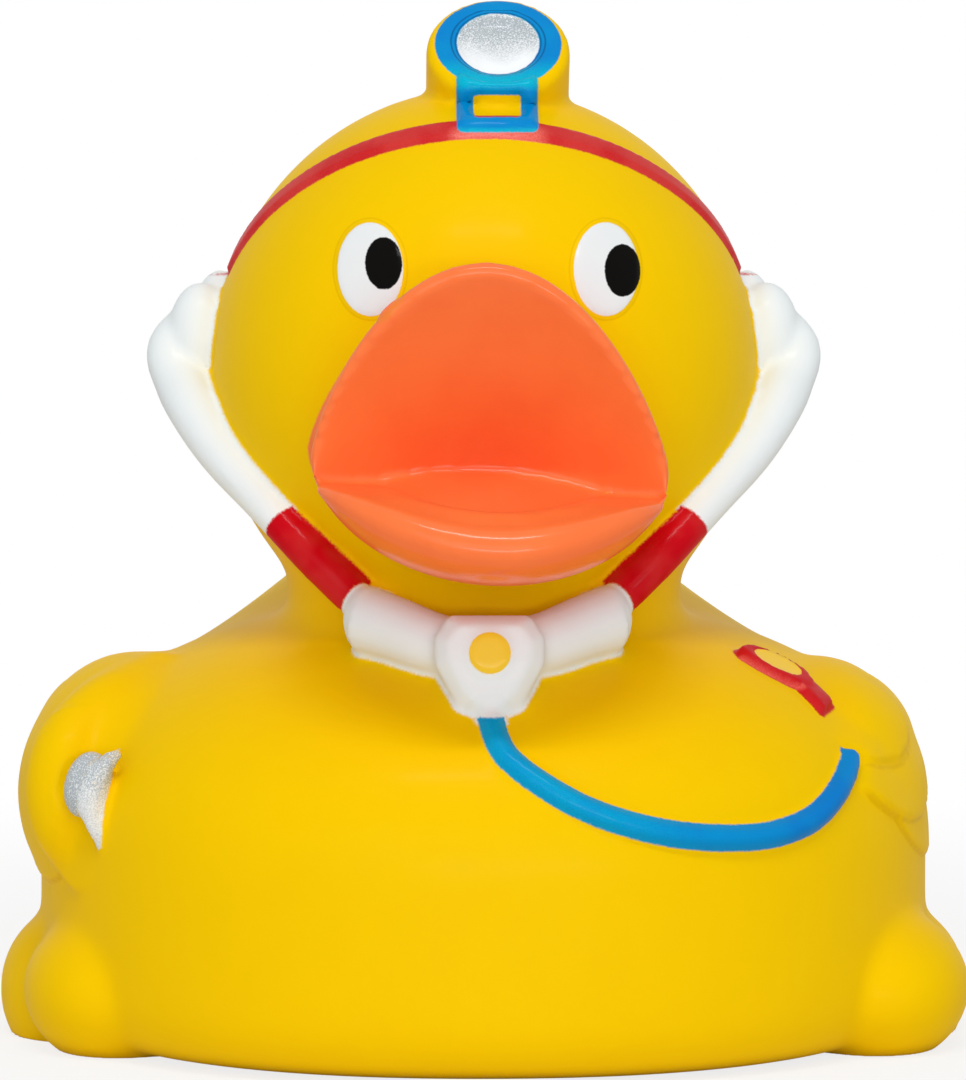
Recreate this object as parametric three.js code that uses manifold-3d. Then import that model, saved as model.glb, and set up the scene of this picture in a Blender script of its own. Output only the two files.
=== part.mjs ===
// Rubber duck dressed as a doctor: one hollow moulded vinyl shell.
// Millimetres, +Z up, bill towards -Y, +X on the viewer's right when the duck is seen from the front.
import * as THREE from "three";
import { mergeVertices } from "three/addons/utils/BufferGeometryUtils.js";
import Module from "manifold-3d";

// Shell
const WALL = 2;
const VENT_DIAMETER = 3.2;

// Body: a rounded boat with a flat base and a raised tail
const BODY_WIDTH = 69.2;
const BODY_FRONT = 35;
const BODY_BACK = 40;
const BODY_CREST = 33.7;
const BODY_WAIST = 15;
const BASE_CROWN = 0.3;
const PLAN_ROUNDNESS = 2.2;
const BACK_ROUNDNESS = 2.3;
const KEEL_ROUNDNESS = 10;
const TAIL_LIFT = 22.3;
const TAIL_CURL = 2;
const TAIL_TAPER = 0.47;
const TAIL_SWEEP = 0.86;

// Head and neck
const HEAD_WIDTH = 42.2;
const HEAD_DEPTH = 42;
const HEAD_HEIGHT = 44;
const HEAD_LEVEL = 51.4;
const HEAD_FORWARD = 5;
const NECK_SHARE = 0.72;

// Bill: a raised upper half with a hollow palate over a lower half that slopes down to its tip
const BILL_WIDTH = 26.4;
const BILL_MOUTH_DROP = 7.8;
const UPPER_BILL_RISE = 16.8;
const UPPER_BILL_REACH = 3.4;
const UPPER_BILL_LEAN = 0.24;
const UPPER_BILL_ROUNDNESS = 1.75;
const BILL_EDGE = 0.6;
const PALATE_DEPTH = 4.2;
const PALATE_RIM = 1.1;
const LOWER_BILL_REACH = 17;
const LOWER_BILL_DROP = 7.8;
const LOWER_BILL_SQUARENESS = 3.2;
const MOUTH_FLOOR_SLOPE = 12;

// Eyes: low ovals on the face
const EYE_WIDTH = 5;
const EYE_HEIGHT = 7;
const EYE_SPACING = 17.6;
const EYE_RISE = 8.4;
const EYE_RELIEF = 0.25;

// Headband: a low band on a plane that is high over the forehead and low at the nape
const BAND_TILT = 45.8;
const BAND_OFFSET = 5.4;
const BAND_WIDTH = 1.7;
const BAND_RELIEF = 0.3;

// Head mirror: a short round boss that looks forward and up, over a bracket with a window
const MIRROR_DIAMETER = 11;
const MIRROR_LENGTH = 12;
const MIRROR_TILT = 44;
const MIRROR_RISE = 2.9;
const MIRROR_FORWARD = 4.5;
const MIRROR_SIDE_SHIFT = 1;
const MIRROR_EDGE = 0.7;
const MIRROR_FACE_DIAMETER = 6.6;
const MIRROR_RECESS = 0.5;
const BRACKET_WIDTH = 6.5;
const BRACKET_RELIEF = 0.8;
const BRACKET_SIDE = 1.5;
const BRACKET_FOOT = 0.9;
const BRACKET_WINDOW_HEIGHT = 1.9;

// Stethoscope: two ear tubes, a yoke with an eight-sided hub, and a hose that hangs on the breast
const EAR_TUBE_DIAMETER = 4;
const EAR_STUB_DIAMETER = 4.2;
const EAR_STUB_LENGTH = 8;
const HUB_ACROSS_FLATS = 7.8;
const HUB_LENGTH = 7;
const HUB_EDGE = 0.8;
const HUB_TILT = 10;
const HUB_FROM_BODY_FRONT = 9;
const HUB_ABOVE_BODY = 2.4;
const BUTTON_DIAMETER = 3.1;
const BUTTON_RELIEF = 0.5;
const YOKE_ARM_DIAMETER = 4.6;
const HOSE_DIAMETER = 2;

// Wings and feet: how far they stand out from the body's side
const WING_REACH = 0.2;
const ARM_EXTRA_REACH = 1.5;
const FOOT_REACH = 3.5;

// Watch and hand instrument
const WATCH_LENGTH = 7;
const WATCH_WIDTH = 4.6;
const WATCH_RELIEF = 0.8;
const STRAP_WIDTH = 1.8;
const INSTRUMENT_LENGTH = 7.2;
const INSTRUMENT_WIDTH = 3.6;
const INSTRUMENT_RELIEF = 1.1;

// Facets around and along the rounded forms, by how large they are
const LARGE = [32, 20];
const MIDDLE = [22, 14];
const SMALL = [12, 8];

const VINYL = { color: 0xf2c800, roughness: 0.45, metalness: 0 };

const wasm = await Module();
wasm.setup();

const degrees = THREE.MathUtils.degToRad;
const power = (value, exponent) => Math.sign(value) * Math.abs(value) ** exponent;
const join = (solids) => solids.reduce((whole, solid) => whole.add(solid));

const bodyHalfWidth = BODY_WIDTH / 2;
const bodyRise = BODY_CREST - BODY_WAIST;
const headCentre = new THREE.Vector3(0, -HEAD_FORWARD, HEAD_LEVEL);
const headRadii = new THREE.Vector3(HEAD_WIDTH, HEAD_DEPTH, HEAD_HEIGHT).multiplyScalar(0.5);

// Turns a closed geometry into a solid that can be joined and cut.
function solidOf(geometry) {
  const bare = geometry.clone();
  bare.deleteAttribute("normal");
  bare.deleteAttribute("uv");
  const merged = mergeVertices(bare, 1e-4);
  const vertProperties = new Float32Array(merged.attributes.position.array);
  const triVerts = new Uint32Array(merged.index.array);
  return new wasm.Manifold(new wasm.Mesh({ numProp: 3, vertProperties, triVerts }));
}

function geometryOf(solid) {
  const mesh = solid.getMesh();
  const geometry = new THREE.BufferGeometry();
  geometry.setAttribute("position", new THREE.BufferAttribute(new Float32Array(mesh.vertProperties), 3));
  geometry.setIndex(new THREE.BufferAttribute(new Uint32Array(mesh.triVerts), 1));
  geometry.computeVertexNormals();
  return geometry;
}

// Sphere with its poles on Z whose unit vertices are moved by the function place.
function shapedSphere(facets, place) {
  const geometry = new THREE.SphereGeometry(1, ...facets);
  geometry.rotateX(Math.PI / 2);
  const position = geometry.attributes.position;
  const point = new THREE.Vector3();
  for (let i = 0; i < position.count; i += 1) {
    point.fromBufferAttribute(position, i);
    place(point.normalize());
    position.setXYZ(i, point.x, point.y, point.z);
  }
  return solidOf(geometry);
}

function ellipsoid(centre, radii, facets = SMALL) {
  return shapedSphere(facets, (point) => point.multiply(radii).add(centre));
}

// Geometry turned about X and moved to its place.
function placed(geometry, position, tiltDegrees = 0) {
  const matrix = new THREE.Matrix4().makeRotationX(degrees(tiltDegrees)).setPosition(position);
  return solidOf(geometry.clone().applyMatrix4(matrix));
}

function tube(points, diameter, steps, sides = 10) {
  const corners = Array.from({ length: sides }, (_, i) => {
    const angle = (2 * Math.PI * i) / sides;
    return new THREE.Vector2(Math.cos(angle), Math.sin(angle)).multiplyScalar(diameter / 2);
  });
  const extrudePath = new THREE.CatmullRomCurve3(points);
  const settings = { extrudePath, steps, bevelEnabled: false };
  return solidOf(new THREE.ExtrudeGeometry(new THREE.Shape(corners), settings));
}

// Solid of revolution whose axis looks forward and up by a tilt; the profile ends at the axis's origin.
function turnedTo(profile, segments, position, tiltDegrees) {
  const points = profile.map(([radius, along]) => new THREE.Vector2(radius, along));
  return placed(new THREE.LatheGeometry(points, segments, Math.PI / segments), position, 180 - tiltDegrees);
}

function forwardAxis(tiltDegrees) {
  return new THREE.Vector3(0, -Math.cos(degrees(tiltDegrees)), Math.sin(degrees(tiltDegrees)));
}

function bodyForm(inset, facets) {
  return shapedSphere(facets, (point) => {
    const upper = point.z > 0;
    const plan = Math.atan2(point.y, point.x);
    const bend = 2 / (upper ? BACK_ROUNDNESS : KEEL_ROUNDNESS);
    const reach = Math.hypot(point.x, point.y) ** bend;
    const across = reach * power(Math.cos(plan), 2 / PLAN_ROUNDNESS);
    const along = reach * power(Math.sin(plan), 2 / PLAN_ROUNDNESS);
    const tail = Math.max(along, 0);
    const length = (along > 0 ? BODY_BACK : BODY_FRONT) - inset;
    const rise = (upper ? bodyRise : BODY_WAIST + BASE_CROWN) - inset;
    point.x = across * (bodyHalfWidth - inset) * (1 - TAIL_TAPER * tail ** TAIL_SWEEP);
    point.y = along * length;
    point.z = BODY_WAIST + rise * power(point.z, bend) + TAIL_LIFT * tail ** TAIL_CURL;
  });
}

// Point of the breast at a place across and up.
function breastAt(x, z) {
  const level = Math.max(z - BODY_WAIST, 0) / bodyRise;
  const reach = (1 - level ** BACK_ROUNDNESS) ** (1 / BACK_ROUNDNESS);
  const along = reach ** PLAN_ROUNDNESS - Math.abs(x / bodyHalfWidth) ** PLAN_ROUNDNESS;
  return new THREE.Vector3(x, -BODY_FRONT * along ** (1 / PLAN_ROUNDNESS), z);
}

// Point of the back or shoulder at a place across and forward.
function shoulderAt(x, y) {
  const across = Math.abs(x / bodyHalfWidth) ** PLAN_ROUNDNESS;
  const along = Math.abs(y / BODY_FRONT) ** PLAN_ROUNDNESS;
  const reach = (across + along) ** (1 / PLAN_ROUNDNESS);
  const level = (1 - reach ** BACK_ROUNDNESS) ** (1 / BACK_ROUNDNESS);
  return new THREE.Vector3(x, y, BODY_WAIST + bodyRise * level);
}

function headForm(out, facets) {
  return ellipsoid(headCentre, headRadii.clone().addScalar(out), facets);
}

// Point over the head's surface by its angle from the front, its height angle and its distance out.
function headAt(sideDegrees, heightDegrees, out) {
  const side = degrees(sideDegrees);
  const height = degrees(heightDegrees);
  const direction = new THREE.Vector3(
    Math.sin(side) * Math.cos(height),
    -Math.cos(side) * Math.cos(height),
    Math.sin(height),
  );
  return direction.multiply(headRadii.clone().addScalar(out)).add(headCentre);
}

// Raised ground: a layer of the head's surface inside a cutting solid.
function headRelief(height, cutter) {
  return headForm(height, LARGE).intersect(cutter);
}

function neck(inset) {
  const radius = (NECK_SHARE * HEAD_WIDTH) / 2 - inset;
  const height = HEAD_LEVEL - BODY_WAIST;
  const centre = new THREE.Vector3(0, -HEAD_FORWARD, BODY_WAIST + height / 2);
  return placed(new THREE.CylinderGeometry(radius, radius, height, LARGE[0]), centre, 90);
}

// Rounded triangle of the upper bill, as shares of its half width and its rise.
function billOutline(turn) {
  const bend = 2 / UPPER_BILL_ROUNDNESS;
  return [power(Math.cos(turn), bend), power(Math.sin(turn), bend)];
}

function upperBill(mouth) {
  const halfWidth = BILL_WIDTH / 2;
  const reach = headRadii.y + UPPER_BILL_REACH;
  const corners = Array.from({ length: MIDDLE[0] + 1 }, (_, i) => {
    const [across, up] = billOutline((Math.PI * i) / MIDDLE[0]);
    return new THREE.Vector2(across * (halfWidth - BILL_EDGE), up * (UPPER_BILL_RISE - BILL_EDGE));
  });
  const block = new THREE.ExtrudeGeometry(new THREE.Shape(corners), {
    depth: reach - BILL_EDGE,
    bevelSize: BILL_EDGE,
    bevelThickness: BILL_EDGE,
    bevelSegments: 2,
  });
  block.rotateX(Math.PI / 2);
  block.applyMatrix4(new THREE.Matrix4().makeShear(0, 0, 0, 0, 0, -UPPER_BILL_LEAN));
  const palate = shapedSphere(MIDDLE, (point) => {
    const spread = Math.hypot(point.x, point.z);
    const [across, up] = billOutline(Math.atan2(point.z, point.x));
    const rise = (UPPER_BILL_RISE - PALATE_RIM) * spread * up;
    point.x = (halfWidth - PALATE_RIM) * spread * across;
    point.y = mouth.y - reach + PALATE_DEPTH * point.y - UPPER_BILL_LEAN * rise;
    point.z = mouth.z + rise;
  });
  return placed(block, mouth).subtract(palate);
}

function lowerBill(mouth) {
  const bend = 2 / LOWER_BILL_SQUARENESS;
  const reach = headRadii.y + LOWER_BILL_REACH;
  const bowl = shapedSphere(MIDDLE, (point) => {
    const spread = Math.hypot(point.x, point.y);
    const plan = Math.atan2(point.y, point.x);
    point.x = (BILL_WIDTH / 2) * spread * power(Math.cos(plan), bend);
    point.y = mouth.y + reach * spread * power(Math.sin(plan), bend);
    point.z = mouth.z + LOWER_BILL_DROP * point.z;
  });
  const half = new THREE.BoxGeometry(2 * BILL_WIDTH, 2 * reach, 4 * LOWER_BILL_DROP);
  const front = placed(half.clone().translate(0, -reach, 0), mouth);
  const face = new THREE.Vector3(0, mouth.y - headRadii.y, mouth.z);
  const underFloor = placed(half.translate(0, 0, -2 * LOWER_BILL_DROP), face, MOUTH_FLOOR_SLOPE);
  return bowl.intersect(front).intersect(underFloor);
}

function bill() {
  const mouth = headCentre.clone().setZ(headCentre.z - BILL_MOUTH_DROP);
  return upperBill(mouth).add(lowerBill(mouth));
}

function eyes() {
  const oval = new THREE.Shape().absellipse(0, 0, EYE_WIDTH / 2, EYE_HEIGHT / 2, 0, 2 * Math.PI);
  const settings = { depth: HEAD_DEPTH, curveSegments: MIDDLE[1], bevelEnabled: false };
  const geometry = new THREE.ExtrudeGeometry(oval, settings);
  const pair = [-1, 1].map((side) => {
    const place = new THREE.Vector3(side * EYE_SPACING / 2, headCentre.y, headCentre.z + EYE_RISE);
    return headRelief(EYE_RELIEF, placed(geometry, place, 90));
  });
  return join(pair);
}

function headband() {
  const slab = new THREE.BoxGeometry(2 * HEAD_WIDTH, 2 * HEAD_DEPTH, BAND_WIDTH);
  const normal = forwardAxis(BAND_TILT + 90);
  const place = headCentre.clone().addScaledVector(normal, BAND_OFFSET);
  return headRelief(BAND_RELIEF, placed(slab, place, -BAND_TILT));
}

function headMirror() {
  const crown = headCentre.z + headRadii.z;
  const face = new THREE.Vector3(MIRROR_SIDE_SHIFT, headCentre.y - MIRROR_FORWARD, crown + MIRROR_RISE);
  const radius = MIRROR_DIAMETER / 2;
  const profile = [
    [0, -MIRROR_LENGTH],
    [radius, -MIRROR_LENGTH],
    [radius, -MIRROR_EDGE],
    [radius - MIRROR_EDGE, 0],
    [MIRROR_FACE_DIAMETER / 2, 0],
    [MIRROR_FACE_DIAMETER / 2, -MIRROR_RECESS],
    [0, -MIRROR_RECESS],
  ];
  return turnedTo(profile, MIDDLE[0], face, MIRROR_TILT).add(bracket(face));
}

// Frame on the forehead from under the mirror down to the band.
function bracket(face) {
  const top = face.z - Math.cos(degrees(MIRROR_TILT)) * MIRROR_DIAMETER / 2;
  const height = 2 * BRACKET_FOOT + BRACKET_WINDOW_HEIGHT;
  const middle = new THREE.Vector3(face.x, headCentre.y - headRadii.y, top + BRACKET_FOOT - height / 2);
  const frame = new THREE.BoxGeometry(BRACKET_WIDTH, HEAD_DEPTH, height);
  const window = new THREE.BoxGeometry(BRACKET_WIDTH - 2 * BRACKET_SIDE, HEAD_DEPTH, BRACKET_WINDOW_HEIGHT);
  return headRelief(BRACKET_RELIEF, placed(frame, middle).subtract(placed(window, middle)));
}

// One ear tube: out of the head at the ear, round an elbow and down along the cheek to the chin.
function earTubePoints(side) {
  return [
    headAt(side * 98, 14, -0.5),
    headAt(side * 96, 10, 1.5),
    headAt(side * 92, 4.5, 3),
    headAt(side * 88, -1.7, 2.3),
    headAt(side * 82, -6.5, 1.6),
    headAt(side * 72, -15.2, 0.7),
    headAt(side * 60, -24, 0.4),
    headAt(side * 43, -46, 0.6),
  ];
}

function earTube(side) {
  const stubRadii = new THREE.Vector3(EAR_STUB_DIAMETER, EAR_STUB_DIAMETER, EAR_STUB_LENGTH).multiplyScalar(0.5);
  const stub = ellipsoid(headAt(side * 97, 10, 0), stubRadii);
  return tube(earTubePoints(side), EAR_TUBE_DIAMETER, 20).add(stub);
}

function stethoscope() {
  const centre = shoulderAt(0, HUB_FROM_BODY_FRONT - BODY_FRONT);
  centre.z += HUB_ABOVE_BODY;
  const face = centre.clone().addScaledVector(forwardAxis(HUB_TILT), HUB_LENGTH / 4);
  const radius = HUB_ACROSS_FLATS / 2 / Math.cos(Math.PI / 8);
  const hubProfile = [
    [0, -HUB_LENGTH],
    [radius, -HUB_LENGTH],
    [radius, -HUB_EDGE],
    [radius - HUB_EDGE, 0],
    [0, 0],
  ];
  const buttonProfile = [
    [0, -BUTTON_RELIEF],
    [BUTTON_DIAMETER / 2, -BUTTON_RELIEF],
    [BUTTON_DIAMETER / 2, BUTTON_RELIEF],
    [0, BUTTON_RELIEF],
  ];
  const hub = turnedTo(hubProfile, 8, face, HUB_TILT).add(turnedTo(buttonProfile, 16, face, HUB_TILT));
  const solids = [hub, hose(centre)];
  for (const side of [-1, 1]) {
    const end = earTubePoints(side).at(-1);
    solids.push(earTube(side));
    solids.push(tube([end, centre], YOKE_ARM_DIAMETER, 2));
    solids.push(ellipsoid(end, new THREE.Vector3().setScalar(YOKE_ARM_DIAMETER / 2)));
  }
  return join(solids);
}

// The hose runs over the breast from the hub to the wing on the +X side, at shares of the body's size.
function hose(start) {
  const route = [
    [0.04, 0.48],
    [0.145, 0.35],
    [0.27, 0.25],
    [0.425, 0.18],
    [0.58, 0.155],
    [0.69, 0.215],
    [0.763, 0.335],
    [0.79, 0.435],
  ];
  const points = route.map(([across, up]) => breastAt(across * bodyHalfWidth, BODY_WAIST + up * bodyRise));
  return tube([start, ...points], HOSE_DIAMETER, 26, 8);
}

// Lobes on both sides of the body; each stands out from the body's side by its own reach.
function sideLobes(lobes, extraReach) {
  const solids = [];
  for (const side of [-1, 1]) {
    for (const { reach, y, up, radii } of lobes) {
      const out = bodyHalfWidth + reach + (side < 0 ? extraReach : 0) - radii[0];
      const centre = new THREE.Vector3(side * out, y, BODY_WAIST + up);
      solids.push(ellipsoid(centre, new THREE.Vector3(...radii)));
    }
  }
  return join(solids);
}

// Three overlapping feathers on each side; the wing on the -X side bends out as an arm.
function wings() {
  const feathers = [
    { reach: WING_REACH - 0.7, y: -4, up: 6, radii: [6.2, 15, 6.4] },
    { reach: WING_REACH, y: -3, up: 3.6, radii: [6.1, 14.5, 5.2] },
    { reach: WING_REACH, y: 1, up: 0.8, radii: [5.5, 13, 4.6] },
  ];
  return sideLobes(feathers, ARM_EXTRA_REACH);
}

// Three round toes on each side, cut flat at the base.
function feet() {
  const toes = [
    { reach: FOOT_REACH - 2.7, y: -11, up: -11.6, radii: [5.8, 7.6, 6.2] },
    { reach: FOOT_REACH, y: 1, up: -12, radii: [6.4, 8, 6.6] },
    { reach: FOOT_REACH - 2.4, y: 13, up: -11.6, radii: [5.8, 7.6, 6.2] },
  ];
  return sideLobes(toes, 0);
}

// Small raised oval on the body, turned about X, Y and Z.
function bodyOval(centre, size, turnDegrees) {
  const turn = new THREE.Euler(...turnDegrees.map(degrees));
  const matrix = new THREE.Matrix4().makeRotationFromEuler(turn);
  const radii = new THREE.Vector3(...size).multiplyScalar(0.5);
  return shapedSphere(SMALL, (point) => point.multiply(radii).applyMatrix4(matrix).add(centre));
}

// Watch on the +X shoulder, with the end of its strap.
function watch() {
  const centre = shoulderAt(0.64 * bodyHalfWidth, -0.36 * BODY_FRONT);
  const end = shoulderAt(0.76 * bodyHalfWidth, -0.4 * BODY_FRONT);
  const dial = bodyOval(centre, [WATCH_LENGTH, WATCH_WIDTH, 4 * WATCH_RELIEF], [25, 35, 0]);
  return dial.add(tube([centre, end], STRAP_WIDTH, 2, 8));
}

// Instrument held between the -X wing and the breast.
function instrument() {
  const centre = breastAt(-0.86 * bodyHalfWidth, BODY_WAIST + 0.24 * bodyRise);
  const size = [INSTRUMENT_WIDTH, 4 * INSTRUMENT_RELIEF, INSTRUMENT_LENGTH];
  return bodyOval(centre, size, [0, 14, -50]);
}

function below(level) {
  const block = new THREE.BoxGeometry(4 * BODY_WIDTH, 4 * BODY_WIDTH, BODY_WAIST);
  return placed(block, new THREE.Vector3(0, 0, level - BODY_WAIST / 2));
}

function duckShell() {
  const dress = [eyes(), headband(), headMirror(), stethoscope(), watch(), instrument()];
  const outer = join([bodyForm(0, LARGE), headForm(0, LARGE), neck(0), bill(), wings(), feet(), ...dress]);
  const hollow = join([bodyForm(WALL, MIDDLE), headForm(-WALL, MIDDLE), neck(WALL)]);
  const vent = new THREE.CylinderGeometry(VENT_DIAMETER / 2, VENT_DIAMETER / 2, 4 * WALL, MIDDLE[0]);
  const ventHole = placed(vent, new THREE.Vector3(), 90);
  return outer.subtract(below(0)).subtract(hollow.subtract(below(WALL))).subtract(ventHole);
}

const shell = new THREE.Mesh(geometryOf(duckShell()), new THREE.MeshStandardMaterial(VINYL));
shell.name = "duck_shell";

const duck = new THREE.Group();
duck.add(shell);

// The origin is under the middle of the duck's box.
const box = new THREE.Box3().setFromObject(duck);
const middle = box.getCenter(new THREE.Vector3());
shell.position.set(-middle.x, -middle.y, -box.min.z);

export default duck;
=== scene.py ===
"""Looks of a hollow vinyl toy duck that is dressed as a doctor.

The duck is one moulded piece. Its trunk, limbs and dress are modelled as forms of their own, fused into
one skin, smoothed as a casting is, and painted by hand-mask and spray. Metres, +Z up, the bill looks along -Y.
"""

import logging
import math
from dataclasses import dataclass
from enum import Enum

import bpy
import numpy as np
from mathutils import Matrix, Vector
from mathutils.bvhtree import BVHTree


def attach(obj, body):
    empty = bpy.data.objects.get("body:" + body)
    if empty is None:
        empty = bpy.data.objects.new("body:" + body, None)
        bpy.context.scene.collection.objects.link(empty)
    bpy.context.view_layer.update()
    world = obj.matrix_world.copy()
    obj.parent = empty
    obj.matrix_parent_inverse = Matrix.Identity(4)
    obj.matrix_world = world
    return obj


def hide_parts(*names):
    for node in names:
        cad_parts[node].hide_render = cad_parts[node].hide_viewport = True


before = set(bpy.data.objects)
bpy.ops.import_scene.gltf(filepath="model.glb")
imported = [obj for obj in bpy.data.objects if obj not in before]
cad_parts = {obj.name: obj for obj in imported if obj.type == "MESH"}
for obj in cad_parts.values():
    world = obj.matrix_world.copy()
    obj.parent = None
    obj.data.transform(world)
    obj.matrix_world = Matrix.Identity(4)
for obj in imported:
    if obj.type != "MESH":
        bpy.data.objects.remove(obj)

LOG = logging.getLogger("duck")
MM = 0.001
CAD_NODE = "duck_shell"
SIDES = (-1, 1)
Pair = tuple[float, float]
Triple = tuple[float, float, float]
Form = tuple[Triple, Triple]
Shade = tuple[int, int, int]
Array = np.ndarray
Piece = bpy.types.Object
Socket = bpy.types.NodeSocket


class Coat(Enum):
    """Paints on the vinyl. Each value names the attribute that holds its distance in millimetres.

    CREASE is the line between two feathers, along which shade is painted. THIN holds, from 0 to 1, how thinly the paint
    was sprayed, and also the share of painted shade on the bill and the instrument, of painted reflection on the
    mirror's disc and of painted highlight on its ring.
    """

    BILL = "coat_bill"
    WHITE = "coat_white"
    RED = "coat_red"
    BLUE = "coat_blue"
    SILVER = "coat_silver"
    EYE = "coat_eye"
    PUPIL = "coat_pupil"
    DIAL = "coat_dial"
    CREASE = "coat_crease"
    THIN = "coat_thin"


Coats = dict[Coat, Array]


def signed_power(value: Array, exponent: Array | float) -> Array:
    """Raises the size of each value to a power and keeps its sign."""
    return np.sign(value) * np.abs(value) ** exponent


def smooth_step(low: float, high: float, value: Array) -> Array:
    """Rises smoothly from 0 at low to 1 at high."""
    share = np.clip((value - low) / (high - low), 0.0, 1.0)
    return share * share * (3.0 - 2.0 * share)


def raised(height: Array | float, inner: float, outer: float, gap: Array) -> Array:
    """Gives a relief that is full within the inner gap from its edge and gone at the outer one."""
    return height * (1 - smooth_step(inner, outer, gap))


def spline(knots: Array, steps: int) -> Array:
    """Draws a smooth curve through knots.

    Args:
        knots: Points, or values, that the curve passes through, one a row.
        steps: Pieces between each two knots.

    Returns:
        The points of the curve, first and last knot included.
    """
    padded = np.vstack([2 * knots[0] - knots[1], knots, 2 * knots[-1] - knots[-2]])
    share = np.linspace(0.0, 1.0, steps, endpoint=False)[:, None]
    runs = []
    for a, b, c, d in zip(padded, padded[1:], padded[2:], padded[3:]):
        bend = 2 * a - 5 * b + 4 * c - d
        twist = 3 * b - a - 3 * c + d
        runs.append(b + 0.5 * share * (c - a + share * (bend + share * twist)))
    return np.vstack([*runs, knots[-1:]])


def nearest_on(path: Array, points: Array) -> tuple[Array, Array]:
    """Measures points against a path.

    Args:
        path: Corner points of the path, one a row.
        points: Points to measure, one a row.

    Returns:
        The distance of each point from the path, and how far along the path its nearest place is.
    """
    start, step = path[:-1], np.diff(path, axis=0)
    length = np.linalg.norm(step, axis=1)
    reached = np.concatenate([[0.0], np.cumsum(length)[:-1]])
    best = np.full(len(points), np.inf)
    along = np.zeros(len(points))
    for origin, run, size, before in zip(start, step, length, reached):
        offset = points - origin
        share = np.clip(offset @ run / size**2, 0.0, 1.0)
        gap = np.linalg.norm(offset - share[:, None] * run, axis=1)
        nearer = gap < best
        best[nearer] = gap[nearer]
        along[nearer] = before + share[nearer] * size
    return best, along


def oval_distance(across: Array, up: Array, half_width: float, half_height: float) -> Array:
    """Gives the distance from the edge of an oval, below zero inside it.

    Args:
        across: Places across.
        up: Places up.
        half_width: Half of the width.
        half_height: Half of the height.

    Returns:
        The distances.
    """
    ratio = np.hypot(across / half_width, up / half_height) + 1e-6
    slope = np.hypot(across / half_width**2, up / half_height**2) / ratio + 1e-6
    return (ratio - 1.0) / slope


def slab_distance(
    across: Array, up: Array, half_width: float, half_height: float, corner: float
) -> Array:
    """Gives the distance from the edge of a rectangle with round corners, below zero inside it.

    Args:
        across: Places across.
        up: Places up.
        half_width: Half of the width.
        half_height: Half of the height.
        corner: Radius of the corners.

    Returns:
        The distances.
    """
    x = np.abs(across) - half_width + corner
    y = np.abs(up) - half_height + corner
    outside = np.hypot(np.maximum(x, 0.0), np.maximum(y, 0.0))
    return outside + np.minimum(np.maximum(x, y), 0.0) - corner


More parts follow.
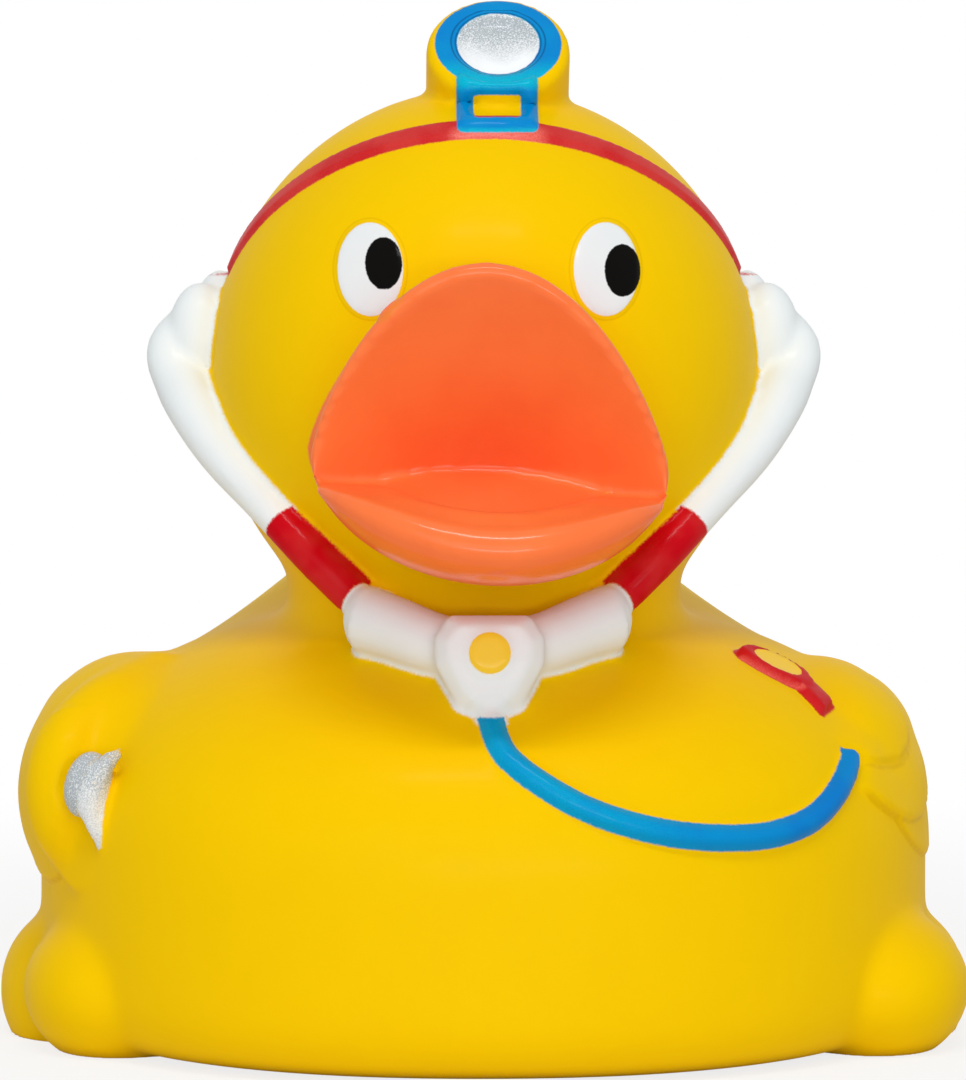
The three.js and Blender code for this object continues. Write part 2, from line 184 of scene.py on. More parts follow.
class Bench:
    """Hand tools. Each works on the objects it is given and leaves one object active."""

    @staticmethod
    def pick(piece: Piece, *others: Piece) -> None:
        """Selects the given objects only, the first as the active one.

        Args:
            piece: The object.
            others: More objects.
        """
        bpy.ops.object.select_all(action="DESELECT")
        for each in (piece, *others):
            each.select_set(True)
        bpy.context.view_layer.objects.active = piece

    @staticmethod
    def settle(name: str, centre: Vector, turn: Vector, scale: Vector) -> Piece:
        """Names the new active object and puts its place, turn and scale into its mesh.

        Args:
            name: Name of the object.
            centre: Its middle.
            turn: Its turn about each axis.
            scale: Its size along each axis.

        Returns:
            The object.
        """
        piece = bpy.context.active_object
        piece.name = name
        piece.scale = scale
        piece.rotation_euler = turn
        piece.location = centre
        bpy.ops.object.transform_apply(location=True, rotation=True, scale=True)
        return piece

    @staticmethod
    def ball(name: str, centre: Vector, radii: Vector, turn: Vector = Vector(), facets: int = 64) -> Piece:
        """Adds a ball with a radius of its own along each axis.

        Args:
            name: Name of the object.
            centre: Its middle.
            radii: Its radius along each axis.
            turn: Its turn about each axis.
            facets: Faces round it.

        Returns:
            The new object.
        """
        bpy.ops.object.select_all(action="DESELECT")
        bpy.ops.mesh.primitive_uv_sphere_add(segments=facets, ring_count=facets * 3 // 4, radius=1.0)
        return Bench.settle(name, centre, turn, radii)

    @staticmethod
    def form(name: str, form: Form, side: int = 1) -> Piece:
        """Adds a ball from its middle and radii in millimetres, on either side."""
        (x, y, z), radii = form
        return Bench.ball(name, Vector((side * x, y, z)) * MM, Vector(radii) * MM)

    @staticmethod
    def peg(name: str, sides: int, radius: float, length: float, face: Vector, tilt: float) -> Piece:
        """Adds a round peg whose face looks forward and up.

        Args:
            name: Name of the object.
            sides: Corners round the peg.
            radius: From the axis to a corner.
            length: From the face back to the other end.
            face: Middle of the face.
            tilt: Turn of the axis up from level.

        Returns:
            The new object.
        """
        bpy.ops.object.select_all(action="DESELECT")
        bpy.ops.mesh.primitive_cylinder_add(vertices=sides, radius=radius, depth=length)
        axis = forward_axis(tilt)
        turn = Vector((math.pi / 2 - tilt, 0.0, 0.0))
        return Bench.settle(name, face - axis * length / 2, turn, Vector((1, 1, 1)))

    @staticmethod
    def rod(name: str, points: Array, radii: Array, roundness: int = 6) -> Piece:
        """Runs a tapered rod along points, by a curve that is made a mesh.

        Args:
            name: Name of the object.
            points: Places on the rod's middle line.
            radii: The rod's radius at each place.
            roundness: Bevel steps round the rod.

        Returns:
            The new object.
        """
        curve = bpy.data.curves.new(name, "CURVE")
        curve.dimensions = "3D"
        curve.bevel_depth = 1.0
        curve.bevel_resolution = roundness
        curve.use_fill_caps = True
        strand = curve.splines.new("POLY")
        strand.points.add(len(points) - 1)
        for knot, place, radius in zip(strand.points, points, radii):
            knot.co = (*place, 1.0)
            knot.radius = radius
        piece = bpy.data.objects.new(name, curve)
        bpy.context.scene.collection.objects.link(piece)
        Bench.pick(piece)
        bpy.ops.object.convert(target="MESH")
        return bpy.context.active_object

    @staticmethod
    def loft(name: str, sections: Array) -> Piece:
        """Skins closed sections of equal point count, and closes both ends.

        Args:
            name: Name of the object.
            sections: Points by section, by place round the section, by axis.

        Returns:
            The new object.
        """
        rows, around = sections.shape[:2]
        faces = [tuple(range(around)), tuple(range((rows - 1) * around, rows * around))]
        for row in range(rows - 1):
            for i in range(around):
                j = (i + 1) % around
                low, high = row * around, (row + 1) * around
                faces.append((low + i, low + j, high + j, high + i))
        mesh = bpy.data.meshes.new(name)
        mesh.from_pydata(sections.reshape(-1, 3).tolist(), [], faces)
        piece = bpy.data.objects.new(name, mesh)
        bpy.context.scene.collection.objects.link(piece)
        Bench.pick(piece)
        bpy.ops.object.mode_set(mode="EDIT")
        bpy.ops.mesh.select_all(action="SELECT")
        bpy.ops.mesh.normals_make_consistent(inside=False)
        bpy.ops.object.mode_set(mode="OBJECT")
        return piece

    @staticmethod
    def finish(piece: Piece, kind: str, **settings: object) -> None:
        """Adds a modifier with its settings and applies it.

        Args:
            piece: The object.
            kind: Type of the modifier.
            settings: Names and values to set.
        """
        Bench.pick(piece)
        modifier = piece.modifiers.new(kind.lower(), kind)
        for name, value in settings.items():
            setattr(modifier, name, value)
        bpy.ops.object.modifier_apply(modifier=modifier.name)

    @staticmethod
    def fuse(name: str, pieces: list[Piece], voxel: float, rounds: int) -> Piece:
        """Melts closed forms into one skin.

        Args:
            name: Name of the skin.
            pieces: Forms that touch or overlap; they are used up.
            voxel: Grain of the skin.
            rounds: Smoothing passes, which round the seams.

        Returns:
            The skin.
        """
        Bench.pick(*pieces)
        bpy.ops.object.join()
        skin = bpy.context.active_object
        skin.name = name
        Bench.finish(skin, "REMESH", mode="VOXEL", voxel_size=voxel, adaptivity=0.0)
        Bench.finish(skin, "SMOOTH", factor=0.5, iterations=rounds)
        return skin

    @staticmethod
    def points(piece: Piece, kind: str = "co") -> Array:
        """Reads the places, or the normals, of a mesh's points.

        Args:
            piece: The object.
            kind: "co" for places, else normals.

        Returns:
            The values, one point a row.
        """
        values = np.empty(len(piece.data.vertices) * 3)
        if kind == "co":
            piece.data.vertices.foreach_get("co", values)
        else:
            piece.data.vertex_normals.foreach_get("vector", values)
        return values.reshape(-1, 3)

    @staticmethod
    def move(piece: Piece, points: Array) -> None:
        """Puts a mesh's points at new places."""
        piece.data.vertices.foreach_set("co", points.ravel())
        piece.data.update()

    @staticmethod
    def feeler(piece: Piece) -> BVHTree:
        """Keeps a form's faces for measuring after the form is fused."""
        vertices = [vertex.co.copy() for vertex in piece.data.vertices]
        return BVHTree.FromPolygons(vertices, [tuple(face.vertices) for face in piece.data.polygons])

    @staticmethod
    def feel(feelers: list[BVHTree], points: Array, reach: float = 6 * MM) -> Array:
        """Gives each point's distance from the nearest of some forms, up to a reach.

        Args:
            feelers: Faces of the forms.
            points: Points to measure, one a row.
            reach: Farthest distance to look for.

        Returns:
            The distances.
        """
        gaps = np.full(len(points), reach)
        for tree in feelers:
            for i, point in enumerate(points):
                hit = tree.find_nearest(point, gaps[i])
                if hit[0] is not None:
                    gaps[i] = hit[3]
        return gaps


def forward_axis(tilt: float) -> Vector:
    """Gives the direction that looks forward and up by a tilt."""
    return Vector((0.0, -math.cos(tilt), math.sin(tilt)))


def upward_axis(tilt: float) -> Array:
    """Gives the direction that is square to the forward axis and looks up."""
    return np.array([0.0, math.sin(tilt), math.cos(tilt)])


def about_axis(points: Array, origin: Vector | Triple, tilt: float) -> tuple[Array, Array]:
    """Gives each point's distance from a forward axis and its height along it.

    Args:
        points: Points to measure, one a row.
        origin: A place on the axis.
        tilt: Turn of the axis up from level.

    Returns:
        The distances and the heights.
    """
    axis = np.array(forward_axis(tilt))
    offset = points - np.array(origin)
    height = offset @ axis
    return np.linalg.norm(offset - height[:, None] * axis, axis=1), height


@dataclass
class Trunk:
    """Boat-shaped body with a flat base and a raised tail, a neck, and an egg-shaped head."""

    width: float = 69.2 * MM
    front: float = 35.0 * MM
    back: float = 40.0 * MM
    crest: float = 33.7 * MM
    waist: float = 15.0 * MM
    base_crown: float = 0.3 * MM
    plan_roundness: float = 2.2
    back_roundness: float = 2.3
    keel_roundness: float = 10.0
    tail_lift: float = 22.3 * MM
    tail_curl: float = 2.0
    tail_taper: float = 0.58
    tail_sweep: float = 1.1
    head_width: float = 42.2 * MM
    head_depth: float = 42.0 * MM
    head_height: float = 44.0 * MM
    head_level: float = 51.4 * MM
    head_forward: float = 5.0 * MM
    neck_share: float = 0.72
    grain: float = 0.8 * MM
    rounds: int = 16
    facets: int = 160
    neck_facets: int = 96

    @property
    def half_width(self) -> float:
        """Half of the body's width."""
        return self.width / 2

    @property
    def rise(self) -> float:
        """Height of the crest over the waist."""
        return self.crest - self.waist

    @property
    def head_centre(self) -> Array:
        """Middle of the head."""
        return np.array([0.0, -self.head_forward, self.head_level])

    @property
    def head_radii(self) -> Array:
        """Half of the head's width, depth and height."""
        return np.array([self.head_width, self.head_depth, self.head_height]) / 2

    def head_at(self, side: float, height: float, out: float) -> Array:
        """Gives a point over the head by its angles in degrees and its distance out.

        Args:
            side: Turn from the front, in degrees.
            height: Angle up from level, in degrees.
            out: Distance out of the head.

        Returns:
            The point.
        """
        turn, lift = math.radians(side), math.radians(height)
        direction = np.array([math.sin(turn) * math.cos(lift), -math.cos(turn) * math.cos(lift), math.sin(lift)])
        return direction * (self.head_radii + out) + self.head_centre

    def breast_at(self, x: float, z: float) -> Array:
        """Gives the point of the breast at a place across and up.

        Args:
            x: Place across.
            z: Place up.

        Returns:
            The point.
        """
        level = max(z - self.waist, 0.0) / self.rise
        reach = (1.0 - level**self.back_roundness) ** (1.0 / self.back_roundness)
        along = reach**self.plan_roundness - abs(x / self.half_width) ** self.plan_roundness
        return np.array([x, -self.front * max(along, 0.0) ** (1.0 / self.plan_roundness), z])

    def shoulder_at(self, x: float, y: float) -> Array:
        """Gives the point of the shoulder at a place across and forward.

        Args:
            x: Place across.
            y: Place forward.

        Returns:
            The point.
        """
        across = abs(x / self.half_width) ** self.plan_roundness
        along = abs(y / self.front) ** self.plan_roundness
        reach = (across + along) ** (1.0 / self.plan_roundness)
        level = (1.0 - reach**self.back_roundness) ** (1.0 / self.back_roundness)
        return np.array([x, y, self.waist + self.rise * level])

    def boat(self) -> Piece:
        """Shapes the body from a ball.

        Returns:
            The body with its tail.
        """
        body = Bench.ball("body", Vector(), Vector((1, 1, 1)), facets=self.facets)
        x, y, z = Bench.points(body).T
        upper = z > 0
        plan = np.arctan2(y, x)
        bend = 2.0 / np.where(upper, self.back_roundness, self.keel_roundness)
        reach = np.hypot(x, y) ** bend
        across = reach * signed_power(np.cos(plan), 2.0 / self.plan_roundness)
        along = reach * signed_power(np.sin(plan), 2.0 / self.plan_roundness)
        tail = np.maximum(along, 0.0)
        length = np.where(along > 0, self.back, self.front)
        rise = np.where(upper, self.rise, self.waist + self.base_crown)
        narrow = 1.0 - self.tail_taper * tail**self.tail_sweep
        lift = self.tail_lift * tail**self.tail_curl
        shaped = [across * self.half_width * narrow, along * length, self.waist + rise * signed_power(z, bend) + lift]
        Bench.move(body, np.stack(shaped, axis=1))
        return body

    def build(self) -> Piece:
        """Fuses body, neck and head.

        Returns:
            The trunk.
        """
        head = Bench.ball("head", Vector(self.head_centre), Vector(self.head_radii), facets=self.facets)
        height = self.head_level - self.waist
        neck_middle = Vector((0.0, -self.head_forward, self.waist + height / 2))
        neck_radius = self.neck_share * self.head_width / 2
        neck_radii = Vector((neck_radius, neck_radius, height))
        neck = Bench.ball("neck", neck_middle, neck_radii, facets=self.neck_facets)
        return Bench.fuse("trunk", [self.boat(), head, neck], self.grain, self.rounds)


@dataclass
class Limbs:
    """Feathered wings, the one on the -X side bent as an arm, and the feet.

    Forms, knots, radii and ovals are in millimetres. A form is the middle and the radii of a ball. An oval is the
    middle and the half sizes of a feather in the side view, the foremost first.
    """

    trunk: Trunk
    grain: float = 0.55 * MM
    rounds: int = 9
    wing_forms: tuple[Form, ...] = (
        ((24.0, -4.0, 18.3), (10.0, 16.0, 10.4)),
        ((25.8, -4.0, 21.8), (7.2, 13.0, 7.4)),
        ((-25.0, -4.0, 18.8), (10.8, 16.0, 10.8)),
        ((-27.0, -4.0, 22.5), (7.5, 13.0, 7.1)),
    )
    arm_knots: tuple[Triple, ...] = (
        (-24.6, -5.5, 28.0), (-29.2, -11.6, 25.6), (-31.4, -14.4, 21.8), (-31.6, -14.8, 17.8), (-31.0, -14.2, 14.6),
    )
    arm_radii: tuple[float, ...] = (2.2, 2.8, 3.0, 2.7, 1.3)
    front_toe_across: Pair = (28.0, 29.7)
    front_toe_place: Pair = (-12.5, 4.6)
    front_toe_radii: Triple = (7.4, 9.4, 6.2)
    other_toes: tuple[Form, ...] = (((32.2, -3.5, 3.3), (5.5, 8.2, 6.4)), ((27.6, 8.5, 3.4), (5.8, 7.6, 5.8)))
    wing_ovals: tuple[tuple[float, ...], ...] = (
        (-15.5, 27.3, 7.4, 5.6), (-12.5, 24.0, 9.4, 6.7), (-6.0, 21.0, 12.0, 7.0),
    )
    arm_ovals: tuple[tuple[float, ...], ...] = (
        (-17.5, 20.4, 4.9, 7.9), (-10.0, 20.8, 10.0, 8.3), (-3.0, 21.2, 12.0, 7.6),
    )
    wing_step: float = 0.3 * MM
    arm_step: float = 0.22 * MM
    wing_start: float = 0.75
    arm_start: float = 0.85
    fade_share: float = 0.09
    fade_foot: float = 23.5 * MM
    fade_top: float = 29.5 * MM

    def wings(self) -> list[Piece]:
        """Shapes the wings with their round shoulders, and the arm that comes forward on the -X side.

        Returns:
            The forms.
        """
        steps = 8
        path = spline(np.array(self.arm_knots), steps) * MM
        radii = spline(np.array(self.arm_radii)[:, None], steps)[:, 0] * MM
        return [*(Bench.form("wing", form) for form in self.wing_forms), Bench.rod("arm", path, radii)]

    def feet(self) -> list[Piece]:
        """Shapes three toes on each side.

        Returns:
            The toes.
        """
        pieces = []
        for side, across in zip(SIDES, self.front_toe_across):
            front = ((across, *self.front_toe_place), self.front_toe_radii)
            pieces += [Bench.form("toe", form, side) for form in (front, *self.other_toes)]
        return pieces

    def build(self, trunk: Piece) -> Piece:
        """Fuses the limbs to the trunk."""
        return Bench.fuse("figure", [trunk, *self.wings(), *self.feet()], self.grain, self.rounds)

    def feathers(self, points: Array) -> tuple[Array, Array]:
        """Lays feathers on each wing as ovals in the side view, the foremost on top.

        Args:
            points: Points to measure, one a row.

        Returns:
            How far the feathers stand out at each point, and the distance from the nearest feather's edge.
        """
        height = np.zeros(len(points))
        edge = np.full(len(points), 5 * MM)
        half = self.trunk.half_width
        wing = (1, self.wing_ovals, self.wing_step, self.wing_start)
        arm = (-1, self.arm_ovals, self.arm_step, self.arm_start)
        for side, ovals, step, start in (wing, arm):
            inner = smooth_step(start * half, (start + self.fade_share) * half, points[:, 0] * side)
            fade = inner * (1 - smooth_step(self.fade_foot, self.fade_top, points[:, 2]))
            cover = np.full(len(points), -np.inf)
            for layer, oval in zip((3, 2, 1), ovals):
                y, z, half_length, half_height = (size * MM for size in oval)
                gap = oval_distance(points[:, 1] - y, points[:, 2] - z, half_length, half_height)
                height = np.maximum(height, raised(fade * layer * step, -0.35 * MM, 0.1 * MM, gap))
                edge = np.minimum(edge, np.maximum(np.abs(gap), cover) + 2 * MM * (1 - fade))
                cover = np.maximum(cover, -gap)
        return height, edge

    def lift(self, points: Array) -> Array:
        """Gives how far the feathers stand out at each point."""
        return self.feathers(points)[0]

    def paint(self, points: Array) -> Coats:
        """Measures the creases between the feathers."""
        return {Coat.CREASE: self.feathers(points)[1]}


@dataclass
class Bill:
    """Open bill: a raised upper half with a hollow palate, and a lower half with a lens-shaped floor and a lip."""

    trunk: Trunk
    width: float = 26.4 * MM
    mouth_drop: float = 7.8 * MM
    rise: float = 17.0 * MM
    top_bend: float = 0.74
    under_bend: float = 0.52
    corner_reach: float = 3.4 * MM
    lean: float = 0.22
    rim: float = 0.75 * MM
    root_drop: float = 2.0 * MM
    crease_rise: float = 1.3 * MM
    corner_rise: float = 2.0 * MM
    floor_share: float = 0.68
    floor_run: float = 8.8 * MM
    floor_fall: float = 2.4 * MM
    lip_reach: float = 12.0 * MM
    lip_fall: float = 2.0 * MM
    lip_bulge: float = 1.5 * MM
    ridge: float = 0.55 * MM
    ridge_back: float = 0.25 * MM
    floor_sag: float = 0.4
    drop: float = 6.75 * MM
    turn: float = math.radians(2.8)
    slices: int = 91
    root_reach: float = 8.0 * MM
    root_slope: float = 1.6
    corner_square: float = 14.0
    crease_depth: float = 0.3 * MM
    rim_turns: Pair = (0.55, 1.2)
    palate_pull: Pair = (0.30, 0.50)
    brow_stretch: float = 1.25
    keel_back: float = 1.0 * MM
    keel_reach: float = 6.0 * MM
    shade_fan_width: float = 0.50
    shade_fan_height: float = 0.62

    def section(self, across: float) -> Array:
        """Draws the bill's outline in the plane at a place across.

        Args:
            across: Share of the half width, from -1 to 1.

        Returns:
            Points of the closed outline, forward in the first column and up in the second.
        """
        face = self.trunk.head_centre[1] - self.trunk.head_radii[1]
        corner = self.trunk.head_level - self.mouth_drop + self.corner_rise
        mouth = corner - self.corner_rise * min(1.0, self.corner_square * (1 - across**2)) ** 0.5
        a = min(abs(across), 0.999)
        swell = 1 - a**2
        arch = swell**self.top_bend
        lens = max(1 - (a / self.floor_share) ** 2, 0.0)
        top = corner + (self.rise - self.corner_rise) * arch
        under = corner - (self.drop + self.corner_rise) * swell**self.under_bend
        root = self.trunk.head_centre[1] - self.root_reach
        outline = [(root, top - self.root_slope * self.root_drop * arch), (face + 3 * MM, top - self.root_drop * arch)]
        depth = face + self.crease_depth - (self.corner_reach + self.crease_depth) * a**2
        crease = np.array([depth, mouth + self.crease_rise * lens])
        outline += list(self.palate(face, corner, top, arch, crease))
        outline += list(self.lip(face, mouth, under, swell, lens, crease))
        outline.append((root, under + 0.25 * (top - under)))
        return np.array(outline, float)

    def palate(self, face: float, corner: float, top: float, arch: float, crease: Array) -> Array:
        """Draws the round rim of the upper half and the hollow from it down to the crease.

        Args:
            face: Forward place of the head's face.
            corner: Height of the mouth's corners.
            top: Height of the upper edge.
            arch: Share of the arch's height.
            crease: Place of the crease.

        Returns:
            Points of the outline, forward and up.
        """
        bow = self.rim * min(1.0, 2.5 * arch)
        rim_y = face - self.corner_reach - self.lean * (top - corner)
        turns = np.linspace(*self.rim_turns, 12) * math.pi
        rim = np.stack([rim_y + bow + bow * np.cos(turns), top - bow + bow * np.sin(turns)], axis=1)
        inner = rim[-1]
        pull = crease + np.array(self.palate_pull) * (inner - crease)
        share = np.linspace(0, 1, 22)[1:, None]
        hollow = (1 - share) ** 2 * inner + 2 * share * (1 - share) * pull + share**2 * crease
        return np.vstack([rim, hollow])

    def lip(
        self, face: float, corner: float, under: float, swell: float, lens: float, crease: Array
    ) -> Array:
        """Draws the floor, the ridge where it ends, and the thick lip down to the underside.

        Args:
            face: Forward place of the head's face.
            corner: Height of the mouth.
            under: Height of the underside.
            swell: Share of the bill's fullness.
            lens: Share of the floor's fullness.
            crease: Place of the crease.

        Returns:
            Points of the outline, forward and up.
        """
        floor = crease - np.array([self.floor_run, self.floor_fall + self.crease_rise * self.floor_sag]) * lens
        reach = self.corner_reach + (self.lip_reach - self.corner_reach) * swell**0.5
        crest = np.array([face - reach, corner - self.lip_fall * swell**2])
        ridge = self.ridge * min(1.0, 3.0 * lens)
        middle = 0.5 * (floor + crest)
        start = [
            crease + 0.5 * (floor - crease),
            floor + (crease - floor) * 0.06,
            floor + np.array([-self.ridge_back * lens, ridge]),
            middle + np.array([0.0, 0.9 * ridge + self.ridge_back * swell]),
        ]
        bulge = self.lip_bulge * swell**0.5
        front = crest - np.array([bulge, self.brow_stretch * bulge])
        share = np.linspace(0, 0.5 * math.pi, 9)[:, None]
        brow = np.hstack([crest[0] - bulge * np.sin(share), front[1] + self.brow_stretch * bulge * np.cos(share)])
        keel = face + self.keel_back - self.keel_reach * swell**0.5
        back = front[0] + (keel - front[0]) * (1 - np.cos(share))
        belly = np.hstack([back, front[1] - (front[1] - under) * np.sin(share)])
        return np.vstack([start, brow, belly[1:], [(face + 5 * MM, under + 0.3 * MM)]])

    def build(self) -> list[Piece]:
        """Lofts the bill from its sections and turns it a little, as the casting has it.

        Returns:
            The bill.
        """
        turns = np.linspace(-math.pi / 2, math.pi / 2, self.slices)
        sections = []
        for across in np.sin(turns):
            outline = self.section(across)
            x = np.full((len(outline), 1), across * self.width / 2)
            sections.append(np.hstack([x, outline]))
        points = np.array(sections)
        points[:, :, 2] -= math.tan(self.turn) * points[:, :, 0]
        bill = Bench.loft("bill", points)
        self.form = Bench.feeler(bill)
        return [bill]

    def paint(self, points: Array) -> Coats:
        """Measures the orange coat, with painted shade: a darker orange wedge above the middle of the crease.

        Args:
            points: Points to measure, one a row.

        Returns:
            The orange coat's distance from its edge, below zero inside it, and the share of painted shade on the
            palate.
        """
        level = self.trunk.head_level - self.mouth_drop + self.crease_rise
        across, up = points[:, 0] / (self.shade_fan_width * self.width), points[:, 2] - level
        # Painted shade: the palate is painted darker orange, most above the middle of the crease, fading upward and
        # outward.
        from_crease = np.hypot(across, up / (self.shade_fan_height * self.rise))
        painted_shade_fan = raised(smooth_step(-0.6 * MM, 0.4 * MM, up), 0.0, 1.0, from_crease)
        gap = Bench.feel([self.form], points)
        return {Coat.BILL: gap, Coat.THIN: painted_shade_fan * (gap < 0.3 * MM)}


@dataclass
class Eyes:
    """Low oval eyes that look to the +X side."""

    trunk: Trunk
    half_width: float = 2.45 * MM
    half_height: float = 3.45 * MM
    spacing: float = 17.6 * MM
    rise: float = 8.4 * MM
    relief: float = 0.2 * MM
    pupil_width: float = 1.38 * MM
    pupil_height: float = 1.95 * MM
    glances: tuple[Pair, Pair] = ((1.0 * MM, 0.45 * MM), (1.25 * MM, -0.1 * MM))

    def ovals(self, points: Array, width: float, height: float, glance: bool) -> Array:
        """Measures both ovals of one size, moved to where the eyes look if asked.

        Args:
            points: Points to measure, one a row.
            width: Half of the width.
            height: Half of the height.
            glance: Whether to move the ovals.

        Returns:
            The distances from the nearer oval.
        """
        gaps = []
        for side, (over, up) in zip(SIDES, self.glances):
            x = points[:, 0] - side * self.spacing / 2 - over * glance
            z = points[:, 2] - self.trunk.head_level - self.rise - up * glance
            gaps.append(oval_distance(x, z, width, height))
        behind = points[:, 1] - self.trunk.head_centre[1]
        return np.maximum(np.minimum(*gaps), behind)

    def lift(self, points: Array) -> Array:
        """Gives how far the eyes stand out of the head at each point."""
        gap = self.ovals(points, self.half_width, self.half_height, False)
        return raised(self.relief, -0.2 * MM, 0.2 * MM, gap)

    def paint(self, points: Array) -> Coats:
        """Measures the white and the black of the eyes.

        Args:
            points: Points to measure, one a row.

        Returns:
            Each coat's distance from its edge, below zero inside it.
        """
        return {
            Coat.EYE: self.ovals(points, self.half_width, self.half_height, False),
            Coat.PUPIL: self.ovals(points, self.pupil_width, self.pupil_height, True),
        }


@dataclass
class HeadMirror:
    """Round mirror on a boss over the forehead, the buckle under it, and the band round the head."""

    trunk: Trunk
    diameter: float = 11.0 * MM
    length: float = 8.0 * MM
    tilt: float = math.radians(46.0)
    rise: float = 3.15 * MM
    forward: float = 4.5 * MM
    shift: float = 1.0 * MM
    edge: float = 0.75 * MM
    back_share: float = 0.62
    ring_diameter: float = 9.4 * MM
    ring_rise: float = 0.2 * MM
    disc_diameter: float = 6.1 * MM
    disc_rise: float = 0.42 * MM
    lip_width: float = 0.45 * MM
    recess: float = 0.55 * MM
    paint_depth: float = 1.4 * MM
    veil: float = 0.12
    disc_clearance: float = 0.1 * MM
    # Runs of the painted reflection on the disc and of the painted highlight on the ring, in millimetres.
    disc_reflection_run: Pair = (-1.4 * MM, 3.0 * MM)
    ring_highlight_run: Pair = (-4.4 * MM, -0.4 * MM)
    ring_highlight_foot: Pair = (-0.1 * MM, 0.9 * MM)
    faded_side: Pair = (2.6 * MM, 4.4 * MM)
    faded_top: Pair = (-0.35 * MM, 0.0)
    faded_depth: float = 4.0 * MM
    faded_thin: float = 0.85
    buckle_width: float = 5.9 * MM
    buckle_shift: float = 0.85 * MM
    buckle_top: float = 74.4 * MM
    buckle_foot: float = 70.1 * MM
    buckle_relief: float = 0.6 * MM
    buckle_corner: float = 0.3 * MM
    buckle_back: float = 5.5 * MM
    window_width: float = 3.9 * MM
    window_top: float = 72.9 * MM
    window_foot: float = 70.95 * MM
    window_corner: float = 0.35 * MM
    band_tilt: float = math.radians(45.8)
    band_offset: float = 5.4 * MM
    band_width: float = 2.15 * MM
    band_end: float = 59.1 * MM
    band_relief: float = 0.3 * MM
    band_reach: float = 1.2 * MM

    @property
    def face(self) -> Vector:
        """Middle of the mirror's face."""
        crown = self.trunk.head_level + self.trunk.head_radii[2]
        return Vector((self.shift, self.trunk.head_centre[1] - self.forward, crown + self.rise))

    def build(self) -> list[Piece]:
        """Turns the boss from a peg: a round edge, a lip and a sunk disc, with a round back.

        Returns:
            The boss.
        """
        boss = Bench.peg("mirror_boss", 96, self.diameter / 2, self.length, self.face, self.tilt)
        axis = forward_axis(self.tilt)
        bpy.ops.object.mode_set(mode="EDIT")
        bpy.ops.mesh.select_mode(type="FACE")
        bpy.ops.mesh.select_all(action="DESELECT")
        bpy.ops.object.mode_set(mode="OBJECT")
        for polygon in boss.data.polygons:
            polygon.select = polygon.normal.dot(axis) > 0.9
        bpy.ops.object.mode_set(mode="EDIT")
        bpy.ops.mesh.bevel(offset=self.edge, segments=5, affect="EDGES")
        bpy.ops.mesh.select_all(action="DESELECT")
        bpy.ops.object.mode_set(mode="OBJECT")
        reach = max(polygon.center.dot(axis) for polygon in boss.data.polygons)
        for polygon in boss.data.polygons:
            polygon.select = polygon.center.dot(axis) > reach - 1e-6
        bpy.ops.object.mode_set(mode="EDIT")
        flat = self.diameter / 2 - self.edge
        lip = self.disc_diameter / 2 + self.lip_width
        steps = ((flat - lip, -0.3 * self.recess), (self.lip_width, -0.7 * self.recess))
        for inset, lift in steps:
            bpy.ops.mesh.inset(thickness=inset, depth=0.0)
            bpy.ops.mesh.extrude_region_move(TRANSFORM_OT_translate={"value": axis * lift})
        bpy.ops.object.mode_set(mode="OBJECT")
        behind = self.face - axis * self.back_share * self.diameter
        back = Bench.ball("mirror_back", behind, Vector((0.5, 0.5, 0.5)) * self.diameter)
        return [boss, back]

    def buckle(self, points: Array) -> Array:
        """Measures the buckle's frame on the forehead.

        Args:
            points: Points to measure, one a row.

        Returns:
            The distances.
        """
        x, z = points[:, 0] - self.buckle_shift, points[:, 2]
        slabs = (
            (self.buckle_top, self.buckle_foot, self.buckle_width, self.buckle_corner),
            (self.window_top, self.window_foot, self.window_width, self.window_corner),
        )
        outer, window = (
            slab_distance(x, z - (top + foot) / 2, width / 2, (top - foot) / 2, corner)
            for top, foot, width, corner in slabs
        )
        behind = points[:, 1] - self.trunk.head_centre[1] + self.buckle_back
        radius, _ = about_axis(points, self.face, self.tilt)
        return np.maximum.reduce([outer, -window, behind, self.ring_diameter / 2 - 0.3 * MM - radius])

    def band(self, points: Array) -> Array:
        """Measures the headband.

        Args:
            points: Points to measure, one a row.

        Returns:
            The distances.
        """
        offset = points - self.trunk.head_centre
        gap = np.abs(offset @ upward_axis(self.band_tilt) - self.band_offset) - self.band_width / 2
        over = np.linalg.norm(offset / (self.trunk.head_radii + self.band_reach), axis=1) - 1
        return np.maximum.reduce([gap, over * self.trunk.head_radii[2], self.band_end - points[:, 2]])

    def lift(self, points: Array) -> Array:
        """Gives how far the band and the buckle stand out of the head at each point.

        Args:
            points: Points to measure, one a row.

        Returns:
            The heights.
        """
        band = raised(self.band_relief, -0.3 * MM, 0.1 * MM, self.band(points))
        buckle = raised(self.buckle_relief, -0.3 * MM, 0.15 * MM, self.buckle(points))
        return np.maximum(band, buckle)

